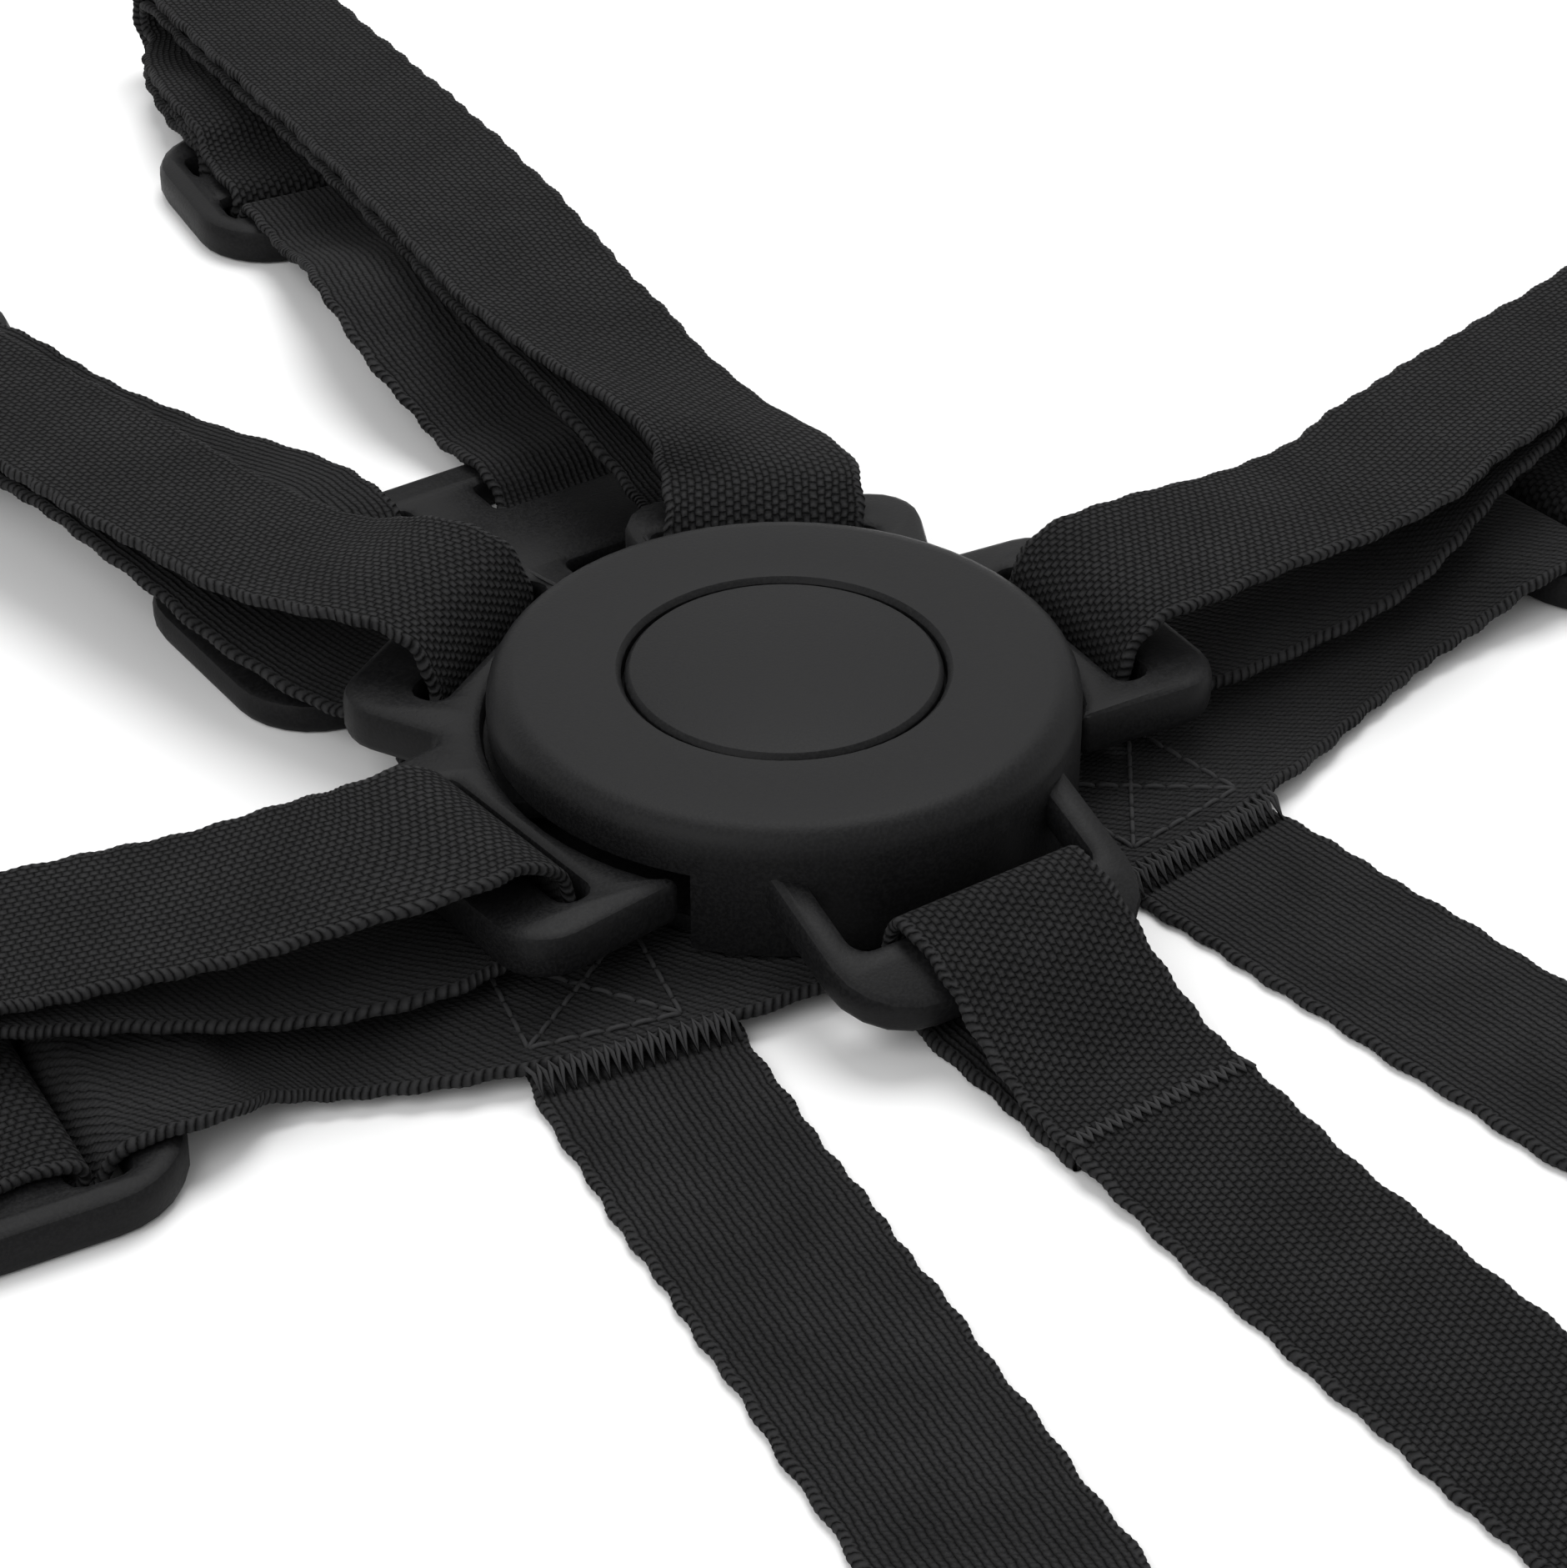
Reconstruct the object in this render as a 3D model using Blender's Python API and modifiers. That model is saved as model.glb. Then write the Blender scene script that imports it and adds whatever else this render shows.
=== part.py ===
"""Five-point child-seat harness with a round push-button buckle, as separate named pieces.

Lengths are in millimetres. The origin is the centre of the buckle's back, +Y runs to the shoulders,
-Y to the crotch strap, and the harness lies on a table below the buckle.
"""

import math

import bmesh
import bpy
import numpy as np
from mathutils import Vector

MM = 0.001

# Webbing, and the clearance kept between pieces that lie against each other
strap_width = 25.0
strap_thick = 1.4
gap = 0.3
buckle_lift = 4.7          # height of the buckle's back above the table
table_play = 0.2           # strap above the table
strap_step = 8.0           # longest straight stretch between two stations of a strap
strap_bend = 17.0          # largest bend in degrees between two stations of a strap
sharp_angle = 40.0         # edges sharper than this stay sharp when a piece is shaded smooth

# Buckle housing
buckle_radius = 33.5
buckle_height = 15.5
edge_round = 3.4
hole_ease = 0.6            # soft edge round the button's hole
skirt_wall = 2.7
top_thick = 2.5
base_thick = 1.8
base_play = 0.4            # base plate inside the cover's skirt
window_play = 1.2          # tongue ends inside the cover's side windows
screw_radius = 1.2
screw_length = 8.4
screw_head_radius = 2.4
screw_inset = 5.8          # cover screws, inside the skirt
screw_angles = {"cover_screw_front_left": 240.0, "cover_screw_front_right": 300.0, "cover_screw_rear": 90.0}
boss_wall = 1.6
back_pad_radius = 8.0      # flat pad in the middle of the back
back_ring_radius = 20.0    # shallow ring round the pad
back_ring_depth = 0.4

# Release button, its spring and the two catch springs
button_radius = 17.9
button_play = 0.4
button_thick = 3.6
button_flange = 1.4
button_ease = 0.6
button_sink = 0.1          # button's face below the cover's top
foot_half = 0.9            # half of a button foot, along its catch spring
foot_inset = 3.0           # middle of a button foot, inside the blade's inner end
button_travel = 3.0
spring_radius = 6.0
spring_wire = 1.0
spring_turns = 5
post_play = 1.0            # spring post inside the spring
leaf_thick = 0.5
leaf_width = 8.0
lip_rise = 1.1             # how far a catch lip reaches into its tongue
rivet_radius = 1.0
rivet_head = 1.0           # rivet head's rim beyond its shank
head_thick = 0.6
head_sink = 0.2            # screw and rivet heads below the buckle's back
rivet_land = 2.0           # flat of a catch spring either side of its rivet
lip_half = 0.8
lip_setback = 4.5          # middle of a catch lip, from the blade's inner end
tip_inset = 3.9            # tip of a catch spring, inside the blade's inner end
rivet_inset = 5.3          # catch rivet, inside the skirt

# Tongues
tongue_angle = 152.5       # left tongue's way out, measured from +X
ear_angle = 31.5           # each strap slot, either side of the tongue's way out
tongue_bottom = 3.4
tongue_thick = 5.6
tongue_round = 1.2
tongue_play = 0.5          # between the cover and the tongue's rim
rim_width = 2.6
notch_ease = 1.5           # rounding between the two ears
slot_width = 4.0
slot_play = 1.0            # strap edge to the end of its slot
ear_bar = 8.0
ear_margin = 5.5
ear_corner = 6.0
rim_waist_end = 63.5
rim_shoulder_end = 54.5
blade_tip = 13.5           # blade's inner end, from the buckle's centre
blade_half = 11.0
blade_thick = 2.2
blade_bottom = 4.8
catch_window = 4.4

# Crotch loop on the cover
loop_reach = 14.8          # from the skirt to the outer edge of the bar
loop_bar = 9.6
loop_thick = 4.8
loop_play = 2.9            # strap edge to an arm
loop_arm = 3.9
loop_corner = 9.0
loop_hole_corner = 2.0
loop_tilt = 18.0
loop_turn = -2.5           # loop's lean to the left of the crotch strap
loop_root_z = 6.0
loop_round = 1.2

# Strap sliders, back yoke and strap anchors
slider_length = 36.0
slider_thick = 5.4
slider_side = 4.4
slider_corner = 11.0
slider_slot = 6.5
slider_bar = 8.0
slider_bar_thick = 1.6
slider_round = 1.5
yoke_length = 40.6
yoke_width = 83.6
yoke_thick = 4.2
yoke_corner = 11.0
yoke_slot = 6.5
yoke_slot_corner = 1.0
yoke_edge_bar = 6.0
yoke_strap_x = 18.5
yoke_y = 62.9
yoke_round = 1.2
anchor_length = 34.0
anchor_side = 7.0
anchor_bar = 5.0
anchor_bar_thick = 2.0
anchor_slot = 6.0
anchor_thick = 4.0
anchor_corner = 6.0
anchor_hole = 2.4
anchor_round = 0.8

# Levels worked out from the sizes above
half_strap = strap_thick / 2
layer = strap_thick + gap
rest_z = -buckle_lift
floor_z = rest_z + table_play + half_strap     # middle of a strap that lies on the table
under_buckle_z = -2 * gap - half_strap
cross_z = floor_z + layer + gap                # waist strap where it lies across the back straps
tongue_top = tongue_bottom + tongue_thick
window_top = tongue_top + 2 * gap
button_top = buckle_height - button_sink
button_under = button_top - button_thick
cover_under = buckle_height - top_thick
slot_r = buckle_radius + tongue_play + rim_width + slot_width / 2
ear_reach = slot_r + slot_width / 2 + ear_bar
slot_half = strap_width / 2 + slot_play
ear_half = slot_half + ear_margin
slider_top = rest_z + slider_thick
slider_bar_low = floor_z + layer + half_strap + gap
yoke_top = rest_z + yoke_thick
leaf_root_z = base_thick + gap + leaf_thick / 2
leaf_under_blade_z = blade_bottom - gap - leaf_thick / 2
leaf_tip_z = base_thick + gap + button_travel + leaf_thick / 2
lip_z = blade_bottom + lip_rise - leaf_thick / 2
lip_d = blade_tip + lip_setback
leaf_tip_d = blade_tip - tip_inset
foot_d = blade_tip - foot_inset
rivet_d = buckle_radius - skirt_wall - rivet_inset
screw_circle = buckle_radius - skirt_wall - screw_inset

# Where the sliders and anchors lie: x, y, direction of the strap in degrees, and which way is outboard
sliders = {
    "left_waist_slider": (-101.8, -5.4, -6.0, -1),
    "right_waist_slider": (119.0, -6.0, 4.0, 1),
    "left_shoulder_slider": (-44.0, 157.0, 110.0, 1),
    "right_shoulder_slider": (29.5, 167.0, 82.0, 1),
}
anchors = {
    "left_tail_anchor": (-63.5, -188.0, 81.5, -1),
    "right_tail_anchor": (52.0, -188.0, 96.5, -1),
    "crotch_anchor": (0.0, -188.0, 90.0, -1),
}
sides = {-1: "left", 1: "right"}
# Where each doubled strap turns back, outboard of its slider
turn_inner = 2.65
turn_outer = turn_inner + 2.5
turn_mid = 5.35
turns = {
    "left_waist": (-157.0, 8.0, -4.0, -1),
    "right_waist": (180.0, 20.0, 15.0, 1),
    "left_shoulder": (-61.8, 203.0, 102.0, 1),
    "right_shoulder": (42.0, 213.0, 84.0, 1),
}


def clear_scene():
    for obj in list(bpy.data.objects):
        bpy.data.objects.remove(obj)
    groups = [bpy.data.collections.new(name) for name in ("harness", "cutters")]
    for group in groups:
        bpy.context.scene.collection.children.link(group)
    return groups


def make_material(name, colour, roughness, metallic=0.0):
    material = bpy.data.materials.new(name)
    material.use_nodes = True
    shader = material.node_tree.nodes["Principled BSDF"]
    shader.inputs["Base Color"].default_value = (*colour, 1.0)
    shader.inputs["Roughness"].default_value = roughness
    shader.inputs["Metallic"].default_value = metallic
    return material


def add(name, mesh, material):
    obj = bpy.data.objects.new(name, mesh)
    mesh.materials.clear()
    own = material.copy()
    own.name = name
    mesh.materials.append(own)
    if obj.type == "MESH":
        mesh.shade_smooth()
        mesh.set_sharp_from_angle(angle=math.radians(sharp_angle))
    part_group.objects.link(obj)
    return obj


def place(obj, x=0.0, y=0.0, z=0.0, turn=0.0):
    obj.location = (x * MM, y * MM, z * MM)
    obj.rotation_euler = (0.0, 0.0, math.radians(turn))
    return obj


def modify(obj, operation, mesh, **where):
    """Cuts or joins a helper mesh, which follows its piece."""
    helper = bpy.data.objects.new(f"{obj.name}_{operation.lower()}", mesh)
    cutter_group.objects.link(helper)
    helper.hide_render = True
    helper.display_type = "WIRE"
    helper.parent = obj
    tilt = where.pop("tilt", 0.0)
    place(helper, **where)
    helper.rotation_euler.x = math.radians(tilt)
    boolean = obj.modifiers.new(operation.title(), "BOOLEAN")
    boolean.object = helper
    boolean.operation = operation
    boolean.solver = "EXACT"


def polar(radius, degrees):
    return radius * math.cos(math.radians(degrees)), radius * math.sin(math.radians(degrees))


def arc(radius, start, end, steps):
    return [polar(radius, start + (end - start) * k / steps) for k in range(steps + 1)]


def rounded(corners, steps=5):
    """A closed outline from (x, y, radius) corners."""
    outline = []
    for k, (x, y, radius) in enumerate(corners):
        here = Vector((x, y))
        if radius == 0:
            outline.append((x, y))
            continue
        back = (Vector(corners[k - 1][:2]) - here).normalized()
        ahead = (Vector(corners[(k + 1) % len(corners)][:2]) - here).normalized()
        half = back.angle(ahead) / 2
        centre = here + (back + ahead).normalized() * radius / math.sin(half)
        first = here + back * radius / math.tan(half) - centre
        last = here + ahead * radius / math.tan(half) - centre
        sweep = first.angle_signed(last)
        for n in range(steps + 1):
            turn = -sweep * n / steps
            c, s = math.cos(turn), math.sin(turn)
            outline.append((centre.x + c * first.x - s * first.y, centre.y + s * first.x + c * first.y))
    return outline


def box_outline(x0, x1, y0, y1, radius=0.0, steps=5):
    return rounded([(x0, y0, radius), (x1, y0, radius), (x1, y1, radius), (x0, y1, radius)], steps)


def flat(outlines, z0, z1, rounding=0.0, smoothness=1):
    """Mesh of a flat outline with holes, between two heights, with its edges rounded."""
    curve = bpy.data.curves.new("outline", "CURVE")
    curve.dimensions = "2D"
    curve.fill_mode = "BOTH"
    curve.extrude = ((z1 - z0) / 2 - rounding) * MM
    curve.bevel_depth = rounding * MM
    curve.bevel_resolution = smoothness
    curve.offset = -rounding * MM
    for outline in outlines:
        spline = curve.splines.new("POLY")
        spline.points.add(len(outline) - 1)
        for point, (x, y) in zip(spline.points, outline):
            point.co = (x * MM, y * MM, 0.0, 1.0)
        spline.use_cyclic_u = True
    return settled(bpy.data.objects.new("outline", curve), (z0 + z1) / 2)


def settled(source, lift=0.0):
    """Closed mesh of a helper object, raised by a height. The helper goes."""
    cutter_group.objects.link(source)
    mesh = bpy.data.meshes.new_from_object(source.evaluated_get(bpy.context.evaluated_depsgraph_get()))
    bpy.data.objects.remove(source)
    work = bmesh.new()
    work.from_mesh(mesh)
    bmesh.ops.remove_doubles(work, verts=work.verts, dist=1e-6)
    bmesh.ops.dissolve_degenerate(work, dist=1e-6, edges=work.edges)
    close_seams(work)
    bmesh.ops.recalc_face_normals(work, faces=work.faces)
    bmesh.ops.translate(work, verts=work.verts, vec=(0.0, 0.0, lift * MM))
    work.to_mesh(mesh)
    work.free()
    return mesh


def close_seams(work):
    """Takes out faces of no area, and splits the open edge each leaves at the corner that lies on it."""
    slivers = [face for face in work.faces if face.calc_area() < 1e-10]
    bmesh.ops.delete(work, geom=slivers, context="FACES_ONLY")
    loose = [edge for edge in work.edges if edge.is_boundary]
    corners = {vert for edge in loose for vert in edge.verts}
    for edge in loose:
        start, end = edge.verts
        run = end.co - start.co
        for vert in corners - {start, end}:
            along = (vert.co - start.co).dot(run) / run.length_squared
            if 0.0 < along < 1.0 and (start.co + along * run - vert.co).length < 1e-6:
                bmesh.utils.edge_split(edge, start, along)
                break
    bmesh.ops.remove_doubles(work, verts=work.verts, dist=1e-6)


def cylinder(radius, z0, z1, sides=24):
    mesh = bpy.data.meshes.new("cylinder")
    work = bmesh.new()
    bmesh.ops.create_cone(work, cap_ends=True, segments=sides, radius1=radius * MM, radius2=radius * MM,
                          depth=(z1 - z0) * MM)
    bmesh.ops.translate(work, verts=work.verts, vec=(0.0, 0.0, (z0 + z1) / 2 * MM))
    work.to_mesh(mesh)
    work.free()
    return mesh


def turned(name, profile, material, steps):
    """A piece turned from an anticlockwise profile of (radius, z) points, closed or from axis to axis."""
    mesh = bpy.data.meshes.new(name)
    work = bmesh.new()
    points = [work.verts.new((r * MM, 0.0, z * MM)) for r, z in reversed(profile)]
    for first, second in zip(points, points[1:]):
        work.edges.new((first, second))
    if profile[0][0] > 0:
        work.edges.new((points[-1], points[0]))
    work.to_mesh(mesh)
    work.free()
    obj = add(name, mesh, material)
    screw = obj.modifiers.new("Screw", "SCREW")
    screw.steps = steps
    screw.render_steps = steps
    screw.use_merge_vertices = True
    screw.merge_threshold = 1e-6
    return obj


def spot(frame, u, z):
    """A strap station: u outboard of a frame's centre, at height z."""
    x, y, direction, outboard = frame
    dx, dy = polar(outboard * u, direction)
    return x + dx, y + dy, z, direction, 0.0


def spots(frame, profile):
    return [spot(frame, u, z) for u, z in profile]


def free(points):
    """Stations of a free stretch, from x, y, z and, where it rolls, a roll that lifts its left-hand edge."""
    return [(x, y, z, math.nan, *(roll or [0.0])) for x, y, z, *roll in points]


def steer(stations):
    """Gives each free station the direction of its neighbours, in plan."""
    steered = [stations[0]]
    for here, after in zip(stations[1:], [*stations[2:], stations[-1]]):
        x, y, z, direction, roll = here
        before = steered[-1]
        if math.isnan(direction):
            direction = math.degrees(math.atan2(after[1] - before[1], after[0] - before[0]))
        direction -= 180.0 * round((direction - before[3]) / 180.0)
        steered.append((x, y, z, direction, roll))
    return steered


def smooth(stations):
    """Points along a Catmull-Rom curve through the stations, thinned where it runs straight."""
    stations = steer(stations)
    first, second, *_, last_but_one, last = np.array(stations)
    knots = np.array([2 * first - second, *stations, 2 * last - last_but_one])
    fine = []
    for a, b, c, d in zip(knots, knots[1:], knots[2:], knots[3:]):
        t = np.cumsum([0.0, *(math.dist(p[:3], q[:3]) ** 0.5 for p, q in ((a, b), (b, c), (c, d)))])
        for at in np.linspace(t[1], t[2], 24, endpoint=False):
            ab = a + (b - a) * (at - t[0]) / (t[1] - t[0])
            bc = b + (c - b) * (at - t[1]) / (t[2] - t[1])
            cd = c + (d - c) * (at - t[2]) / (t[3] - t[2])
            abc = ab + (bc - ab) * (at - t[0]) / (t[2] - t[0])
            bcd = bc + (cd - bc) * (at - t[1]) / (t[3] - t[1])
            fine.append(abc + (bcd - abc) * (at - t[1]) / (t[2] - t[1]))
    fine.append(knots[-2])
    kept = [fine[0]]
    run = turned_by = 0.0
    for before, here, after in zip(fine, fine[1:], fine[2:]):
        run += math.dist(before[:3], here[:3])
        turned_by += Vector(here[:3] - before[:3]).angle(Vector(after[:3] - here[:3]), 0.0)
        if run > strap_step or math.degrees(turned_by) > strap_bend:
            kept.append(here)
            run = turned_by = 0.0
    return np.array([*kept, fine[-1]])


def strap(name, stations, material):
    """A flat strap of webbing along its stations, as a grid with Solidify."""
    path = smooth(stations)
    mesh = bpy.data.meshes.new(name)
    work = bmesh.new()
    bmesh.ops.create_grid(work, x_segments=len(path) - 1, y_segments=1, size=0.5)
    for vert in work.verts:
        x, y, z, direction, roll = path[round((vert.co.x + 0.5) * (len(path) - 1))]
        level, rise = polar(strap_width * vert.co.y, roll)
        side_x, side_y = polar(level, direction + 90.0)
        vert.co = Vector((x + side_x, y + side_y, z + rise)) * MM
    work.to_mesh(mesh)
    work.free()
    obj = add(name, mesh, material)
    solid = obj.modifiers.new("Solidify", "SOLIDIFY")
    solid.thickness = strap_thick * MM
    solid.offset = 0.0
    solid.use_even_offset = True
    return obj


def turn_back(frame, radius, z_mid):
    """Stations of a strap that turns back over itself, from its lower to its upper run."""
    return spots(frame, [(u, z_mid + z) for u, z in arc(radius, -90.0, 90.0, 4)])


def tongue_turn(side):
    """Which way a tongue slides out, in degrees from +X."""
    return tongue_angle if side < 0 else 180.0 - tongue_angle


def tongue_frame(side, ear):
    """Centre of a tongue's strap slot: side is -1 on the left, ear is 1 at the waist."""
    angle = tongue_angle + ear_angle * ear
    if side > 0:
        angle = 180.0 - angle
    x, y = polar(slot_r, angle)
    if ear < 0:
        return x, y, angle, 1
    return x, y, angle if side > 0 else angle - 180.0, side


def slot_turn(frame, crest):
    """Stations round a tongue's bar, from the lower run up through the slot to the upper run."""
    low = tongue_bottom - gap - half_strap
    edge = slot_width / 2
    bar = edge + ear_bar
    return spots(frame, [
        (bar + 5.0, low), (bar - 1.5, low), (edge + 2.4, low - 0.1), (0.7, low + 0.5), (-0.1, low + 2.4),
        (-0.1, tongue_top - 0.9), (0.5, tongue_top + 1.3), (2.6, tongue_top + crest - 1.7),
        (6.0, tongue_top + crest - 0.3), (bar + 1.0, tongue_top + crest),
    ])


def slider_run(frame):
    """Stations of the running strap through a slider, from its inboard to its outboard side."""
    over = slider_top + gap + half_strap
    edge = slider_bar / 2 + slider_slot
    half = slider_length / 2
    side = [(edge - 5.0, floor_z), (edge - 3.2, floor_z + 1.3), (edge - 1.5, over - 1.4),
            (edge + 0.3, over - 0.1), (edge + 2.0, over), (half - 1.5, over), (half + 4.0, over - 0.3)]
    return spots(frame, [*((-u, z) for u, z in reversed(side)), (0.0, floor_z), *side])


def slider_loop(frame):
    """Stations of the sewn loop round a slider's middle bar, from its sewn end to its upper run."""
    over = slider_top + gap + half_strap
    edge = slider_bar / 2 + slider_slot
    bar = slider_bar / 2
    under = slider_bar_low - gap - half_strap
    top = slider_bar_low + slider_bar_thick + gap + half_strap
    return spots(frame, [
        (slider_length / 2 + 4.0, over + layer), (edge + 1.6, over + layer), (edge - 0.6, over + layer - 0.4),
        (edge - 3.0, over - 0.4), (bar + 2.0, under + 0.6), (bar + 0.5, under), (0.0, under),
        (-bar - 0.1, under), (-bar - 1.5, under + 0.6), (-bar - 2.0, (under + top) / 2),
        (-bar - 1.3, top - 0.6),
        (-bar + 0.4, top + 0.1), (bar - 0.6, top + 0.2), (edge - 4.0, over + 1.1), (edge - 1.6, over + 2.8),
        (edge + 1.6, over + 2 * layer), (slider_length / 2 + 4.0, over + 2 * layer),
    ])


def anchor_loop(frame):
    """Stations of a strap end round an anchor's bar, from its inboard run to its sewn end."""
    over = rest_z + anchor_thick + 2 * gap + half_strap
    half = anchor_bar / 2
    bend = (over - floor_z) / 2
    turn = [(half + u, floor_z + bend + z) for u, z in arc(bend, 45.0, -45.0, 2)]
    return spots(frame, [
        (-half - 24.0, floor_z), (-half - 17.0, floor_z + 0.7), (-half - 11.0, floor_z + layer + gap),
        (-half - 6.0, floor_z + layer + 3 * gap), (-half - 1.4, over - gap), (-half + 1.0, over),
        (half, over), *turn, (half, floor_z), (-half - 4.0, floor_z), (-half - 11.0, floor_z),
    ])


def yoke_run(side):
    """Stations of a back strap through the yoke, from the waist side to the shoulder side."""
    frame = (side * yoke_strap_x, yoke_y, 90.0, 1)
    over = yoke_top + gap + half_strap
    half = yoke_length / 2
    edge = half - yoke_edge_bar
    inner = edge - yoke_slot
    return spots(frame, [
        (-half - 5.0, over - 1.8), (-half + 0.5, over), (-edge - 1.0, over), (-edge + 1.7, over - 1.2),
        (-edge + 3.6, floor_z + 1.0), (-inner - 0.8, floor_z), (0.0, floor_z), (inner + 0.8, floor_z),
        (edge - 3.6, floor_z + 1.0), (edge - 1.7, over - 1.2), (edge + 1.0, over), (half - 0.5, over),
        (half + 5.0, over - 0.5),
    ])


def make_cover(material):
    """Cap with its skirt, two side windows, the crotch loop and the screw bosses."""
    inner = buckle_radius - skirt_wall
    hole = button_radius + button_play
    shoulder = buckle_radius - edge_round
    rim = [(shoulder + x, buckle_height - edge_round + z) for x, z in arc(edge_round, 0.0, 90.0, 5)]
    profile = [(buckle_radius, 0.0), *rim, (hole + hole_ease, buckle_height),
               (hole, buckle_height - hole_ease), (hole, cover_under), (inner, cover_under), (inner, 0.0)]
    cover = turned("housing_cover", profile, material, 60)
    play = math.degrees(window_play / buckle_radius)
    for side in (-1, 1):
        start, end = sorted((side * (rim_shoulder_end + play), -side * (rim_waist_end + play)))
        outer = buckle_radius + window_play
        sector = [*arc(inner - window_play, start, end, 24), *arc(outer, end, start, 24)]
        modify(cover, "DIFFERENCE", flat([sector], -gap, window_top), turn=tongue_turn(side))
    x, y = polar(buckle_radius, 270.0 + loop_turn)
    modify(cover, "UNION", loop_mesh(), x=x, y=y, z=loop_root_z, turn=loop_turn, tilt=loop_tilt)
    boss = screw_radius + gap + boss_wall
    for angle in screw_angles.values():
        x, y = polar(screw_circle, angle)
        modify(cover, "UNION", cylinder(boss, base_thick + gap, cover_under + gap, 20), x=x, y=y)
        pilot = cylinder(screw_radius + gap, 0.0, screw_length + screw_radius + gap, 16)
        modify(cover, "DIFFERENCE", pilot, x=x, y=y)
    return cover


def loop_mesh():
    """U-shaped frame for the crotch strap, with the ends of its arms inside the skirt's wall."""
    inner = strap_width / 2 + loop_play
    outer = inner + loop_arm
    root_r = buckle_radius - skirt_wall / 2
    lean = math.cos(math.radians(loop_tilt))
    root_in, root_out = ((buckle_radius - math.sqrt(root_r ** 2 - x ** 2)) / lean for x in (inner, outer))
    bar = loop_bar - loop_reach
    outline = rounded([(outer, root_out, 0), (outer, -loop_reach, loop_corner),
                       (-outer, -loop_reach, loop_corner), (-outer, root_out, 0), (-inner, root_in, 0),
                       (-inner, bar, loop_hole_corner), (inner, bar, loop_hole_corner), (inner, root_in, 0)])
    return flat([outline], -loop_thick / 2, loop_thick / 2, loop_round)


def make_base(material):
    """Back plate with the spring post, a ring round its middle pad, the screw holes and the rivet holes."""
    base = add("base_plate", cylinder(buckle_radius - skirt_wall - base_play, 0.0, base_thick, 48), material)
    post = spring_radius - spring_wire / 2 - post_play
    modify(base, "UNION", cylinder(post, base_thick / 2, button_under - button_travel - post_play, 24))
    ring = [arc(radius, 0.0, 360.0, 32)[:-1] for radius in (back_ring_radius, back_pad_radius)]
    modify(base, "DIFFERENCE", flat(ring, -gap, back_ring_depth))
    holes = [(polar(screw_circle, angle), screw_radius, screw_head_radius) for angle in screw_angles.values()]
    holes += [(polar(rivet_d, tongue_turn(side)), rivet_radius, rivet_radius + rivet_head) for side in sides]
    for (x, y), shank, head in holes:
        modify(base, "DIFFERENCE", cylinder(shank + gap, -gap, base_thick + gap, 16), x=x, y=y)
        modify(base, "DIFFERENCE", cylinder(head + gap, -gap, head_sink + head_thick + gap, 20), x=x, y=y)
    return base


def make_fasteners(material):
    """Cover screws and catch rivets, each turned from its own outline."""
    head_top = head_sink + head_thick
    for name, angle in screw_angles.items():
        profile = [(0.0, head_sink), (screw_head_radius, head_sink), (screw_head_radius, head_top),
                   (screw_radius, head_top), (screw_radius, screw_length), (0.0, screw_length + screw_radius)]
        place(turned(name, profile, material, 16), *polar(screw_circle, angle))
    for side, word in sides.items():
        head, crown = rivet_radius + rivet_head, leaf_root_z + leaf_thick / 2 + gap
        profile = [(0.0, head_sink), (head, head_sink), (head, head_top), (rivet_radius, head_top),
                   (rivet_radius, crown), (head, crown), (rivet_radius, crown + head_thick),
                   (0.0, crown + head_thick)]
        place(turned(f"{word}_catch_rivet", profile, material, 16), *polar(rivet_d, tongue_turn(side)))


def make_button(material):
    """Push button with its retaining flange and the two feet that press the catch springs."""
    flange = button_radius + button_flange
    flange_top = cover_under - gap
    profile = [(0.0, button_under), (flange, button_under), (flange, flange_top), (button_radius, flange_top),
               (button_radius, button_top - button_ease), (button_radius - button_ease, button_top),
               (0.0, button_top)]
    button = turned("release_button", profile, material, 64)
    foot_end = leaf_tip_z + leaf_thick / 2 + gap
    for side in (-1, 1):
        foot = flat([box_outline(foot_d - foot_half, foot_d + foot_half, -leaf_width / 2, leaf_width / 2)],
                    foot_end, button_under + gap)
        modify(button, "UNION", foot, turn=tongue_turn(side))
    return button


def make_spring(material):
    """Coil spring between the base plate and the button, as one tube. Prints its least gap to itself."""
    low = base_thick + gap + spring_wire / 2
    high = button_under - gap - spring_wire / 2
    count = spring_turns * 10
    angles = np.linspace(0.0, 2 * math.pi * spring_turns, count + 1)
    heights = np.linspace(low, high, count + 1)
    points = np.stack([spring_radius * np.cos(angles), spring_radius * np.sin(angles), heights], axis=1)
    far = np.abs(np.subtract.outer(angles, angles)) > math.pi
    least = np.linalg.norm(points[:, None] - points[None], axis=2)[far].min() - spring_wire
    print(f"button spring: least gap to itself {least:.2f} mm")
    curve = bpy.data.curves.new("button_spring", "CURVE")
    curve.dimensions = "3D"
    curve.bevel_depth = spring_wire / 2 * MM
    curve.bevel_resolution = 1
    curve.use_fill_caps = True
    spline = curve.splines.new("POLY")
    spline.points.add(count)
    for point, place_mm in zip(spline.points, points):
        point.co = (*(place_mm * MM), 1.0)
    return add("button_spring", curve, material)


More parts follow.
